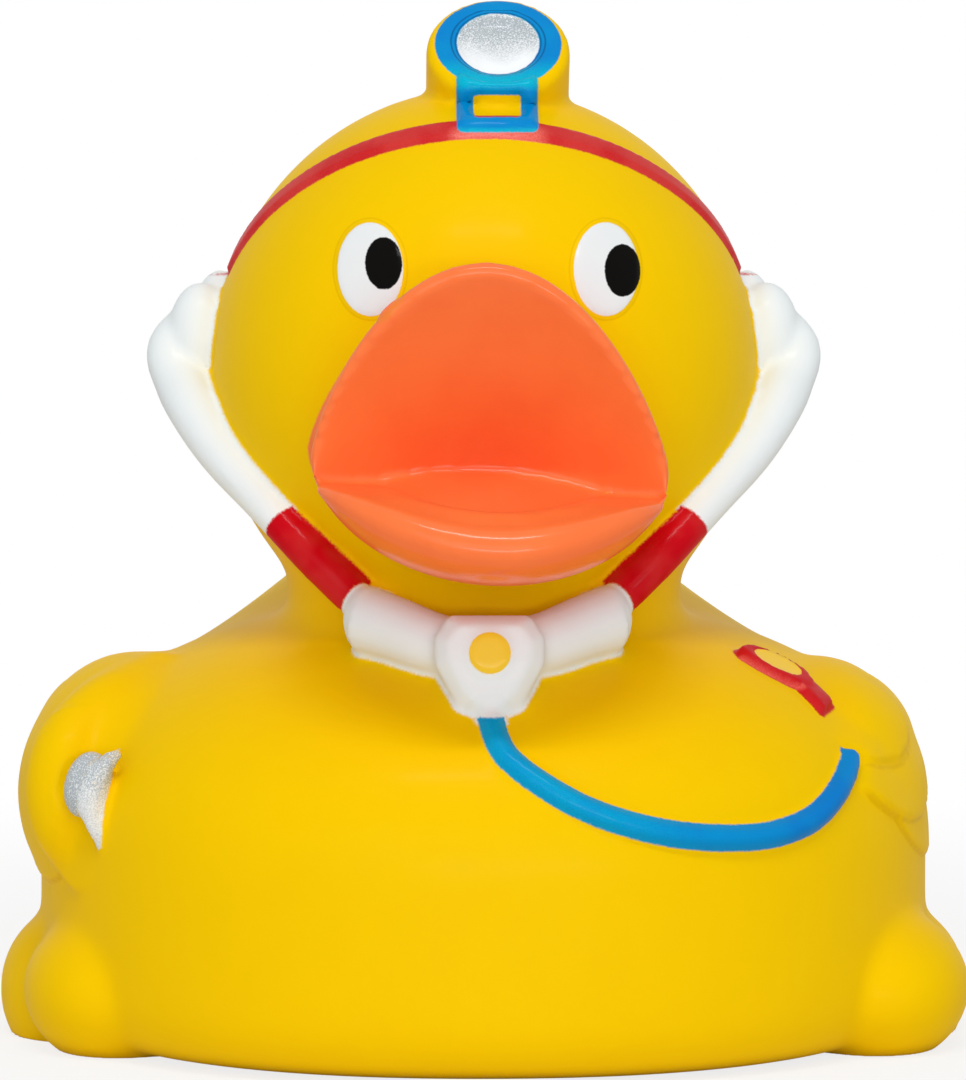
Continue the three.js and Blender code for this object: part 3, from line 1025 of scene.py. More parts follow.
    def paint(self, points: Array) -> Coats:
        """Measures the blue ring and buckle, the silver disc and the red band.

        Args:
            points: Points to measure, one a row.

        Returns:
            Each coat's distance from its edge, below zero inside it, and the share of the thin colour: thin spray on
            the band, painted reflection on the disc and a painted highlight on the ring.
        """
        _, height = about_axis(points, self.face, self.tilt)
        up = (points - np.array(self.face)) @ upward_axis(self.tilt)
        side = points[:, 0] - self.face.x
        rounds = ((self.ring_rise, self.ring_diameter), (self.disc_rise, self.disc_diameter))
        ring, disc = (
            np.maximum(np.hypot(side, up - rise) - diameter / 2, -height - self.paint_depth)
            for rise, diameter in rounds
        )
        buckle = self.buckle(points)
        band = np.maximum(self.band(points), 0.25 * MM - np.minimum(buckle, ring))
        on_paint = (np.minimum.reduce([ring, buckle, band]) < 0.5 * MM) * (disc > self.disc_clearance)
        return {
            Coat.BLUE: np.minimum(ring, buckle),
            Coat.SILVER: disc,
            Coat.RED: band,
            Coat.THIN: np.maximum(self.thin(points, disc, up), self.veil * on_paint),
        }

    def thin(self, points: Array, disc: Array, up: Array) -> Array:
        """Gives the painted reflection that darkens the disc towards its top, the painted highlight that turns the
        ring's lower part a lighter blue, and where the spray is thin on the band under the buckle.

        Args:
            points: Points to measure, one a row.
            disc: Distance from the disc's edge.
            up: Distance up the mirror's face.

        Returns:
            Shares from 0 to 1.
        """
        # Painted reflection: the silver disc is painted darker towards its top.
        disc_reflection = smooth_step(*self.disc_reflection_run, up) * (disc < self.disc_clearance)
        # Painted highlight: the ring's lower part is painted a lighter, greener blue.
        on_ring = smooth_step(*(self.window_top + place for place in self.ring_highlight_foot), points[:, 2])
        ring_highlight = (1 - smooth_step(*self.ring_highlight_run, up)) * (disc >= self.disc_clearance) * on_ring
        side = np.abs(points[:, 0] - self.buckle_shift)
        from_foot = self.buckle_foot - points[:, 2]
        faded = raised(smooth_step(*self.faded_top, from_foot), *self.faded_side, side) * (from_foot < self.faded_depth)
        front = points[:, 1] < self.trunk.head_centre[1]
        return np.maximum.reduce([disc_reflection, ring_highlight, self.faded_thin * faded]) * front


@dataclass
class Stethoscope:
    """Two ear tubes, a yoke with a faceted hub, and a hose over the breast.

    An ear knot is the turn and height over the head in degrees and the distance out in millimetres. A hose knot is
    a share of the body's half width and of its rise. A hub corner is a share of the hub's half width. The elbow's
    form and the yoke knots, which start from the hub, are in millimetres.
    """

    trunk: Trunk
    tube: float = 4.15 * MM
    stub: float = 4.4 * MM
    stub_length: float = 8.8 * MM
    stub_knot: Triple = (97, 9, -0.2)
    elbow: Form = ((21.9, -4.2, 54.0), (2.6, 2.8, 4.3))
    ear_knots: tuple[Triple, ...] = (
        (98, 12.6, -0.5), (96, 8.8, 1.5), (92, 3.8, 3.0), (88, -1.9, 2.3),
        (82, -6.5, 1.6), (72, -15.2, 0.7), (60, -24, 0.5), (47, -34, 1.2), (36.5, -43, 2.0),
    )
    slimming: float = 0.26
    slim_run: Pair = (0.5, 0.85)
    hub_width: float = 8.2 * MM
    hub_depth: float = 6.0 * MM
    hub_edge: float = 1.2 * MM
    hub_tilt: float = math.radians(8.0)
    hub_place: Triple = (0.0, -29.0 * MM, 31.65 * MM)
    hub_corners: tuple[Pair, ...] = ((0.74, 0.70), (1.0, 0.30), (1.0, -0.16), (0.60, -0.92), (0.34, -1.20))
    hub_face: float = 0.74
    button: float = 3.1 * MM
    button_relief: float = 0.35 * MM
    yoke: float = 5.2 * MM
    yoke_taper: float = 0.82
    yoke_end: Triple = (0.72, 1.0, 1.0)
    yoke_knots: tuple[Triple, ...] = ((9.0, 9.0, 1.7), (7.0, 7.4, 1.2), (3.6, 5.0, 0.2), (0.0, 4.2, 0.0))
    hose: float = 1.75 * MM
    hose_knots: tuple[Pair, ...] = (
        (-0.004, 0.74), (0.0, 0.64), (0.031, 0.501), (0.125, 0.372), (0.231, 0.275), (0.359, 0.203),
        (0.489, 0.168), (0.6, 0.166), (0.691, 0.209), (0.75, 0.292), (0.783, 0.38), (0.79, 0.43),
    )
    hose_thin: float = 0.45
    hose_run: Pair = (0.1, 0.75)
    red_clearance: float = 0.5 * MM
    white_share: float = 0.765

    def ear_path(self, side: int) -> Array:
        """Draws the middle line of one ear tube from the ear to the chin."""
        places = [self.trunk.head_at(side * turn, height, out * MM) for turn, height, out in self.ear_knots]
        return spline(np.array(places), 8)

    def hose_path(self) -> Array:
        """Draws the middle line of the hose from under the hub over the breast to the wing.

        Returns:
            Points of the line.
        """
        half, waist, rise = self.trunk.half_width, self.trunk.waist, self.trunk.rise
        places = [self.trunk.breast_at(across * half, waist + up * rise) for across, up in self.hose_knots]
        return spline(np.array(places), 6)

    def hub(self) -> Piece:
        """Lofts the hub: a block with ten sides that narrows down to the hose, with a bevelled edge.

        Returns:
            The hub.
        """
        half = self.hub_width / 2
        corners = np.array(self.hub_corners) * half
        outline = np.vstack([corners, corners[::-1] * (-1, 1)])
        axis = np.array(forward_axis(self.hub_tilt))
        up = upward_axis(self.hub_tilt)
        sections = []
        for share, depth in ((1.0, self.hub_depth), (1.0, self.hub_edge), (self.hub_face, 0.0)):
            flat = outline * share
            place = np.array(self.hub_place) - axis * depth
            sections.append(place + flat[:, :1] * np.array([1.0, 0.0, 0.0]) + flat[:, 1:] * up)
        return Bench.loft("hub", np.array(sections))

    def yoke_line(self, side: int) -> Array:
        """Draws the middle line of one yoke arm from its round end to the hub.

        Args:
            side: -1 or 1 for the side.

        Returns:
            Points of the line.
        """
        x, y, z = self.hub_place
        knots = np.array(self.yoke_knots) * MM
        return spline(np.array([(x + side * dx, y + dy, z + dz) for dx, dy, dz in knots]), 6)

    def build(self) -> list[Piece]:
        """Makes the tubes, the yoke, the hub, its button and the hose.

        Returns:
            The pieces.
        """
        hub = self.hub()
        button_face = Vector(self.hub_place) + forward_axis(self.hub_tilt) * self.button_relief
        button = Bench.peg("button", 48, self.button / 2, self.hub_depth / 2, button_face, self.hub_tilt)
        stub_radii = Vector((self.stub, self.stub, self.stub_length)) / 2
        arms, tubes = [], []
        for side in SIDES:
            path = self.ear_path(side)
            slim = 1 - self.slimming * smooth_step(*self.slim_run, np.linspace(0, 1, len(path)))
            turn, height, out = self.stub_knot
            ear = Vector(self.trunk.head_at(side * turn, height, out * MM))
            tubes.append(Bench.rod("ear_tube", path, slim * self.tube / 2))
            tubes.append(Bench.ball("ear_stub", ear, stub_radii))
            tubes.append(Bench.form("ear_elbow", self.elbow, side))
            line = self.yoke_line(side)
            radii = np.linspace(1.0, self.yoke_taper, len(line)) * self.yoke / 2
            arms.append(Bench.rod("yoke_arm", line, radii))
            arms.append(Bench.ball("yoke_end", Vector(line[0]), Vector(self.yoke_end) * self.yoke / 2))
        path = self.hose_path()
        hose = Bench.rod("hose", path, np.full(len(path), self.hose / 2))
        self.white_forms = [Bench.feeler(piece) for piece in (hub, *arms)]
        self.tube_forms = [Bench.feeler(piece) for piece in tubes]
        self.hose_form = [Bench.feeler(hose)]
        return [hub, button, hose, *arms, *tubes]

    def near(self, points: Array) -> Array:
        """Gives each point's distance from the hose."""
        return Bench.feel(self.hose_form, points)

    def paint(self, points: Array) -> Coats:
        """Measures the white, red and blue of the stethoscope and the yellow button.

        Args:
            points: Points to measure, one a row.

        Returns:
            Each coat's distance from its edge, below zero inside it, and how thin it is.
        """
        tube = Bench.feel(self.tube_forms, points)
        yoke = Bench.feel(self.white_forms, points)
        hose = Bench.feel(self.hose_form, points)
        change = np.full(len(points), np.inf)
        for side in SIDES:
            path = self.ear_path(side)
            total = np.linalg.norm(np.diff(path, axis=0), axis=1).sum()
            mine = points[:, 0] * side > 0
            _, along = nearest_on(path, points[mine])
            change[mine] = along - self.white_share * total
        radius, height = about_axis(points, self.hub_place, self.hub_tilt)
        button = np.maximum(radius - self.button / 2, -height - 0.3 * MM)
        low = self.hub_place[2] + self.hub_corners[-1][1] * self.hub_width / 2
        deep = 1 - smooth_step(*(share * self.trunk.half_width for share in self.hose_run), points[:, 0])
        white = np.maximum(np.minimum(yoke, hose), low - points[:, 2])
        return {
            Coat.WHITE: np.minimum(np.maximum(tube, change), white),
            Coat.RED: np.maximum(np.maximum(tube, -change), self.red_clearance - yoke),
            Coat.BLUE: np.maximum(hose, points[:, 2] - low - 0.1 * MM),
            Coat.DIAL: button,
            Coat.THIN: self.hose_thin * deep * (hose < 1 * MM),
        }


@dataclass
class Watch:
    """Wrist watch laid over the +X shoulder as relief, with the ends of its strap."""

    trunk: Trunk
    place: Pair = (0.648, -0.361)
    along: Triple = (0.84, -0.25, -0.48)
    normal: Triple = (0.40, -0.196, 0.895)
    case_length: float = 6.6 * MM
    case_width: float = 4.0 * MM
    case_shift: float = 1.0 * MM
    dial_length: float = 4.0 * MM
    dial_width: float = 2.8 * MM
    dial_shift: float = 0.85 * MM
    strap: float = 2.9 * MM
    strap_end: float = 5.2 * MM
    strap_bend: float = 0.45
    relief: float = 0.8 * MM
    strap_relief: float = 0.55 * MM
    slope: float = 0.10
    dial_depth: float = 0.12 * MM
    depth: float = 4.0 * MM
    overspray: float = 0.15 * MM
    overspray_thin: float = 0.55

    def local(self, points: Array) -> Array:
        """Gives points along, across and over the watch.

        Args:
            points: Points to measure, one a row.

        Returns:
            The points in the watch's own axes.
        """
        x, y = self.place[0] * self.trunk.half_width, self.place[1] * self.trunk.front
        along = np.array(Vector(self.along).normalized())
        normal = np.array(Vector(self.normal).normalized())
        across = np.cross(normal, along)
        return (points - self.trunk.shoulder_at(x, y)) @ np.stack([along, across, normal], axis=1)

    def gaps(self, points: Array) -> tuple[Array, Array, Array]:
        """Measures the case, the strap and the dial.

        Args:
            points: Points to measure, one a row.

        Returns:
            The distances from the edge of each.
        """
        along, across, over = self.local(points).T
        far = np.abs(over) - self.depth
        case = oval_distance(along, across + self.case_shift, self.case_length / 2, self.case_width / 2)
        drift = 0.9 * self.case_shift + self.strap_bend * np.maximum(along - 0.3 * self.case_length, 0.0)
        strap = slab_distance(along - self.strap_end / 2, across + drift, self.strap_end / 2, self.strap / 2, 0.2 * MM)
        dial = oval_distance(along + 0.1 * MM, across + self.dial_shift, self.dial_length / 2, self.dial_width / 2)
        return np.maximum(case, far), np.maximum(strap, far), np.maximum(dial, far)

    def lift(self, points: Array) -> Array:
        """Gives how far the watch stands out of the shoulder at each point.

        Args:
            points: Points to measure, one a row.

        Returns:
            The heights.
        """
        case, strap, dial = self.gaps(points)
        across = self.local(points)[:, 1]
        height = raised(self.relief + self.slope * across, -0.4 * MM, 0.1 * MM, case)
        height -= raised(self.dial_depth, -0.25 * MM, 0.1 * MM, dial)
        return np.maximum(height, raised(self.strap_relief, -0.35 * MM, 0.1 * MM, strap))

    def paint(self, points: Array) -> Coats:
        """Measures the red case and strap and the yellow dial.

        Args:
            points: Points to measure, one a row.

        Returns:
            Each coat's distance from its edge, below zero inside it, and how thin it is.
        """
        case, strap, dial = self.gaps(points)
        foot = self.local(points)[:, 1] + self.case_shift < -0.3 * self.case_width
        thin = raised(self.overspray_thin, 0.05 * MM, 0.4 * MM, np.abs(case - self.overspray)) * foot
        return {Coat.RED: np.minimum(case - self.overspray * foot, strap), Coat.DIAL: dial, Coat.THIN: thin}


@dataclass
class Instrument:
    """Silver hand instrument between the -X arm and the breast: the rim of a round head, and a grip behind it.

    The rim's knots are in millimetres.
    """

    trunk: Trunk
    rim: float = 2.2 * MM
    rim_tip: float = 0.25
    rim_knots: tuple[Triple, ...] = (
        (-27.4, -20.8, 23.7), (-28.7, -20.7, 22.6), (-29.6, -20.5, 20.9),
        (-29.8, -20.4, 19.6), (-29.6, -20.4, 18.1), (-29.1, -20.5, 16.2),
    )
    grip: Triple = (1.7 * MM, 1.9 * MM, 2.6 * MM)
    grip_place: Triple = (-30.2 * MM, -19.1 * MM, 20.9 * MM)
    grip_lean: float = math.radians(15)

    def build(self) -> list[Piece]:
        """Shapes the rim, which tapers to both tips, and the grip.

        Returns:
            The pieces.
        """
        path = spline(np.array(self.rim_knots), 6) * MM
        taper = self.rim_tip + (1 - self.rim_tip) * np.sin(np.linspace(0, math.pi, len(path)))
        rim = Bench.rod("instrument", path, taper * self.rim / 2)
        grip = Bench.ball("grip", Vector(self.grip_place), Vector(self.grip), Vector((0.0, self.grip_lean, 0.0)))
        self.forms = [Bench.feeler(rim)]
        self.grip_forms = [Bench.feeler(grip)]
        return [rim, grip]

    def near(self, points: Array) -> Array:
        """Gives each point's distance from the instrument."""
        return Bench.feel(self.forms + self.grip_forms, points)

    def paint(self, points: Array) -> Coats:
        """Measures the silver coat, with painted shade: the whole grip darker silver, and the rim darker towards its
        top.

        Args:
            points: Points to measure, one a row.

        Returns:
            The silver coat's distance from its edge, below zero inside it, and the share of painted shade.
        """
        rim, grip = Bench.feel(self.forms, points), Bench.feel(self.grip_forms, points)
        # Painted shade: full on the grip, and on the rim from 0.3 at its foot up to 0.8 at its top.
        thin = np.where(grip < rim, 1.0, 0.3 + 0.5 * smooth_step(19 * MM, 23 * MM, points[:, 2]))
        gap = np.minimum(rim, grip)
        return {Coat.SILVER: gap, Coat.THIN: thin * (gap < 1 * MM)}


def linear(red: int, green: int, blue: int) -> tuple[float, float, float, float]:
    """Turns a colour of 0 to 255 steps into the linear colour that shaders take.

    Args:
        red: Red, 0 to 255.
        green: Green, 0 to 255.
        blue: Blue, 0 to 255.

    Returns:
        Red, green, blue and alpha.
    """
    steps = [value / 255 for value in (red, green, blue)]
    parts = [step / 12.92 if step <= 0.04045 else ((step + 0.055) / 1.055) ** 2.4 for step in steps]
    return (*parts, 1.0)


@dataclass(frozen=True)
class Finish:
    """One paint: its colours, its gloss and how its edge was sprayed, with lengths in millimetres."""

    coat: Coat
    colour: Shade
    thin: Shade
    roughness: float
    gloss: float
    reach: float
    softness: float
    speckle: float
    grain: float = 0.3


# The second colour is the thin colour. For the bill it is the painted shade, for the blue the painted highlight on the
# mirror's ring and the lighter middle of the hose, for the silver the painted reflection on the disc and the painted
# shade on the instrument.
FINISHES = (
    Finish(Coat.BILL, (254, 122, 60), (238, 92, 41), 0.36, 0.45, 0.30, 0.10, 0.05, 0.05),
    Finish(Coat.WHITE, (238, 244, 245), (231, 237, 238), 0.45, 0.14, 0.32, 0.17, 0.11),
    Finish(Coat.RED, (199, 0, 21), (240, 112, 98), 0.40, 0.10, 0.25, 0.12, 0.10),
    Finish(Coat.BLUE, (0, 124, 206), (0, 184, 212), 0.36, 0.12, 0.15, 0.07, 0.05),
    Finish(Coat.SILVER, (250, 252, 253), (172, 181, 186), 0.40, 0.40, 0.10, 0.06, 0.05, 0.8),
    Finish(Coat.EYE, (233, 237, 238), (228, 232, 233), 0.42, 0.14, 0.0, 0.05, 0.03),
    Finish(Coat.PUPIL, (4, 3, 2), (8, 6, 4), 0.45, 0.08, 0.0, 0.05, 0.04),
    Finish(Coat.DIAL, (249, 206, 48), (244, 196, 34), 0.36, 0.25, 0.0, 0.05, 0.04),
)


class Wiring:
    """Lays nodes and links in one node tree."""

    def __init__(self, tree: bpy.types.NodeTree) -> None:
        """Starts on an empty tree."""
        self.tree = tree
        tree.nodes.clear()

    def node(self, kind: str, **settings: object) -> bpy.types.Node:
        """Adds a node and sets its options.

        Args:
            kind: Type of the node.
            settings: Names and values to set.

        Returns:
            The node.
        """
        node = self.tree.nodes.new(kind)
        for name, value in settings.items():
            setattr(node, name, value)
        return node

    def feed(self, socket: Socket, source: object) -> None:
        """Links a socket to another socket, or sets its value.

        Args:
            socket: The socket to feed.
            source: A socket or a value.
        """
        if isinstance(source, Socket):
            self.tree.links.new(source, socket)
        else:
            socket.default_value = source

    def math(self, operation: str, first: object, second: object = 0.0) -> Socket:
        """Adds a sum of two values.

        Args:
            operation: Name of the operation.
            first: First socket or value.
            second: Second socket or value.

        Returns:
            The result.
        """
        node = self.node("ShaderNodeMath", operation=operation)
        self.feed(node.inputs[0], first)
        self.feed(node.inputs[1], second)
        return node.outputs[0]

    def mix(self, share: object, first: object, second: object) -> Socket:
        """Mixes two colours.

        Args:
            share: Share of the second.
            first: First socket or value.
            second: Second socket or value.

        Returns:
            The colour.
        """
        node = self.node("ShaderNodeMix", data_type="RGBA")
        self.feed(node.inputs[0], share)
        self.feed(node.inputs[6], first)
        self.feed(node.inputs[7], second)
        return node.outputs[2]

    def blend(self, share: object, first: object, second: object) -> Socket:
        """Mixes two values.

        Args:
            share: Share of the second.
            first: First socket or value.
            second: Second socket or value.

        Returns:
            The value.
        """
        node = self.node("ShaderNodeMix", data_type="FLOAT")
        self.feed(node.inputs[0], share)
        self.feed(node.inputs[2], first)
        self.feed(node.inputs[3], second)
        return node.outputs[0]

    def ramp(self, value: object, low: object, high: object, start: float, end: float) -> Socket:
        """Takes a value smoothly from one range to another.

        Args:
            value: Socket to take from one range to the other.
            low: Start of its range.
            high: End of its range.
            start: What is put out at the start.
            end: What is put out at the end.

        Returns:
            The value.
        """
        node = self.node("ShaderNodeMapRange", interpolation_type="SMOOTHSTEP")
        for socket, source in zip(node.inputs, (value, low, high, start, end)):
            self.feed(socket, source)
        return node.outputs[0]

    def grain(self, scale: float, detail: float) -> Socket:
        """Adds noise of so many lumps a millimetre.

        Args:
            scale: Lumps a millimetre.
            detail: Octaves of the noise.

        Returns:
            The noise, from 0 to 1.
        """
        place = self.node("ShaderNodeTexCoord").outputs["Object"]
        noise = self.node("ShaderNodeTexNoise")
        self.feed(noise.inputs["Vector"], place)
        self.feed(noise.inputs["Scale"], scale / MM)
        self.feed(noise.inputs["Detail"], detail)
        return noise.outputs["Fac"]


@dataclass(frozen=True)
class PaintShop:
    """Makes the painted vinyl and the node groups that its coats share.

    Places of lines are in millimetres. A noise is its lumps a millimetre and its octaves.
    """

    sheen: float = 0.02
    polish: float = 0.17
    vinyl_colour: Shade = (247, 201, 0)
    vinyl_drift: Shade = (242, 194, 0)
    vinyl_grain: float = 0.5
    vinyl_roughness: Pair = (0.40, 0.46)
    vinyl_gloss: Pair = (0.0, 0.03)
    pore_height: float = 0.2
    coat_height: float = 0.25
    # Painted shade in the grooves round the mirror's disc, round the eyes and between the feathers.
    groove_places: Pair = (0.22, 0.56)
    groove_shade_strength: float = 0.6
    groove_shade_colour: Shade = (0, 62, 112)
    rim_place: float = 0.32
    eye_rim_shade_strength: float = 0.25
    crease_run: Pair = (0.03, 0.3)
    crease_shade_strength: float = 0.3
    crease_shade_colour: Shade = (206, 148, 0)
    line_depth: float = 0.5
    line_run: Pair = (0.02, 0.11)
    edge_noise: Pair = (5.0, 3.0)
    edge_share: float = 2.6
    drift_noise: Pair = (0.7, 1.0)
    broad_noise: Pair = (0.25, 2.0)
    broad_run: Pair = (0.35, 0.65)
    broad_most: float = 0.12
    fleck_noise: Pair = (9.0, 2.0)
    fleck_run: Pair = (0.3, 0.7)
    satin_noise: Pair = (0.4, 2.0)
    gloss_noise: Pair = (0.3, 2.0)
    pore_noise: Pair = (1.6, 3.0)
    bump_strength: float = 0.35
    bump_distance: float = 0.1 * MM

    def spray_edge(self) -> bpy.types.NodeTree:
        """Makes the group that turns a distance in millimetres into a coat with a sprayed edge.

        Returns:
            The node group.
        """
        group = bpy.data.node_groups.new("spray_edge", "ShaderNodeTree")
        for name in ("Distance", "Reach", "Softness", "Speckle"):
            group.interface.new_socket(name, in_out="INPUT", socket_type="NodeSocketFloat")
        group.interface.new_socket("Coat", in_out="OUTPUT", socket_type="NodeSocketFloat")
        wiring = Wiring(group)
        entry, leave = wiring.node("NodeGroupInput"), wiring.node("NodeGroupOutput")
        fine = wiring.math("SUBTRACT", wiring.grain(*self.edge_noise), 0.5)
        drift = wiring.math("SUBTRACT", wiring.grain(*self.drift_noise), 0.5)
        lumps = wiring.math("ADD", wiring.math("MULTIPLY", fine, self.edge_share), drift)
        ragged = wiring.math("MULTIPLY", lumps, entry.outputs["Speckle"])
        edge = wiring.math("SUBTRACT", wiring.math("ADD", entry.outputs["Distance"], ragged), entry.outputs["Reach"])
        low = wiring.math("MULTIPLY", entry.outputs["Softness"], -1.0)
        wiring.feed(leave.inputs["Coat"], wiring.ramp(edge, low, entry.outputs["Softness"], 1.0, 0.0))
        return group

    def mottle(self) -> bpy.types.NodeTree:
        """Makes the group that lets a colour drift between thick and thin paint, and that also lays the painted shade,
        reflection and highlight.

        Returns:
            The node group.
        """
        group = bpy.data.node_groups.new("paint_mottle", "ShaderNodeTree")
        for name, kind in (("Thick", "Color"), ("Thin", "Color"), ("Share", "Float"), ("Grain", "Float")):
            group.interface.new_socket(name, in_out="INPUT", socket_type=f"NodeSocket{kind}")
        group.interface.new_socket("Colour", in_out="OUTPUT", socket_type="NodeSocketColor")
        wiring = Wiring(group)
        entry, leave = wiring.node("NodeGroupInput"), wiring.node("NodeGroupOutput")
        broad = wiring.ramp(wiring.grain(*self.broad_noise), *self.broad_run, 0.0, self.broad_most)
        fine = wiring.ramp(wiring.grain(*self.fleck_noise), *self.fleck_run, -1.0, 1.0)
        specks = wiring.math("MULTIPLY", wiring.math("MULTIPLY", fine, entry.outputs["Grain"]), entry.outputs["Share"])
        share = wiring.math("ADD", wiring.math("ADD", entry.outputs["Share"], specks), broad)
        share = wiring.math("MINIMUM", wiring.math("MAXIMUM", share, 0.0), 1.0)
        wiring.feed(leave.inputs["Colour"], wiring.mix(share, entry.outputs["Thick"], entry.outputs["Thin"]))
        return group

    def vinyl(self) -> bpy.types.Material:
        """Makes the yellow vinyl with all its coats of paint, and the painted shade in its grooves and creases.

        Returns:
            The material.
        """
        material = bpy.data.materials.new("painted_vinyl")
        material.use_nodes = True
        wiring = Wiring(material.node_tree)
        edge_group, mottle_group = self.spray_edge(), self.mottle()
        reading = {coat: wiring.node("ShaderNodeAttribute", attribute_name=coat.value).outputs["Fac"] for coat in Coat}

        def placed(group: bpy.types.NodeTree, *sources: object) -> Socket:
            """Places a group, feeds it and gives what it puts out.

            Args:
                group: The group to place.
                sources: What its sockets are fed, in order.

            Returns:
                The group's first output.
            """
            node = wiring.node("ShaderNodeGroup", node_tree=group)
            for socket, source in zip(node.inputs, sources):
                wiring.feed(socket, source)
            return node.outputs[0]

        shades = (linear(*self.vinyl_colour), linear(*self.vinyl_drift))
        colour = placed(mottle_group, *shades, 0.0, self.vinyl_grain)
        roughness = wiring.blend(wiring.grain(*self.satin_noise), *self.vinyl_roughness)
        gloss = wiring.blend(wiring.grain(*self.gloss_noise), *self.vinyl_gloss)
        height = wiring.math("MULTIPLY", wiring.grain(*self.pore_noise), self.pore_height)
        coats = {}
        for finish in FINISHES:
            coat = placed(edge_group, reading[finish.coat], finish.reach, finish.softness, finish.speckle)
            coats[finish.coat] = coat
            # The thin colour follows the thin share, which also carries painted shade, painted reflection and painted
            # highlight.
            shades = (linear(*finish.colour), linear(*finish.thin))
            colour = wiring.mix(coat, colour, placed(mottle_group, *shades, reading[Coat.THIN], finish.grain))
            roughness = wiring.blend(coat, roughness, finish.roughness)
            gloss = wiring.blend(coat, gloss, finish.gloss)
            height = wiring.math("ADD", height, wiring.math("MULTIPLY", coat, self.coat_height))
        # Painted shade: dark blue lines in the two grooves round the mirror's disc.
        grooves = [self.line(wiring, reading[Coat.SILVER], place) for place in self.groove_places]
        lines = wiring.math("MULTIPLY", wiring.math("ADD", *grooves), coats[Coat.BLUE])
        lines = wiring.math("MULTIPLY", lines, self.groove_shade_strength)
        colour = wiring.mix(lines, colour, linear(*self.groove_shade_colour))
        # Painted shade: a darker yellow line in the groove round each eye, and along the creases between the feathers.
        rim = wiring.math("MULTIPLY", self.line(wiring, reading[Coat.EYE], self.rim_place), self.eye_rim_shade_strength)
        crease = wiring.ramp(reading[Coat.CREASE], *self.crease_run, 1.0, 0.0)
        rim = wiring.math("MAXIMUM", rim, wiring.math("MULTIPLY", crease, self.crease_shade_strength))
        colour = wiring.mix(rim, colour, linear(*self.crease_shade_colour))
        sunk = wiring.math("MULTIPLY", wiring.math("ADD", rim, lines), self.line_depth)
        bump = wiring.node("ShaderNodeBump")
        wiring.feed(bump.inputs["Strength"], self.bump_strength)
        wiring.feed(bump.inputs["Distance"], self.bump_distance)
        wiring.feed(bump.inputs["Height"], wiring.math("SUBTRACT", height, sunk))
        shader = wiring.node("ShaderNodeBsdfPrincipled")
        sources = {
            "Base Color": colour,
            "Roughness": roughness,
            "Specular IOR Level": self.sheen,
            "Coat Weight": gloss,
            "Coat Roughness": self.polish,
            "Normal": bump.outputs["Normal"],
        }
        for name, source in sources.items():
            wiring.feed(shader.inputs[name], source)
        leave = wiring.node("ShaderNodeOutputMaterial")
        wiring.feed(leave.inputs["Surface"], shader.outputs["BSDF"])
        return material

    def line(self, wiring: Wiring, distance: Socket, place: float) -> Socket:
        """Draws a fine line at a distance in millimetres from a coat's edge."""
        gap = wiring.math("ABSOLUTE", wiring.math("SUBTRACT", distance, place))
        return wiring.ramp(gap, *self.line_run, 1.0, 0.0)


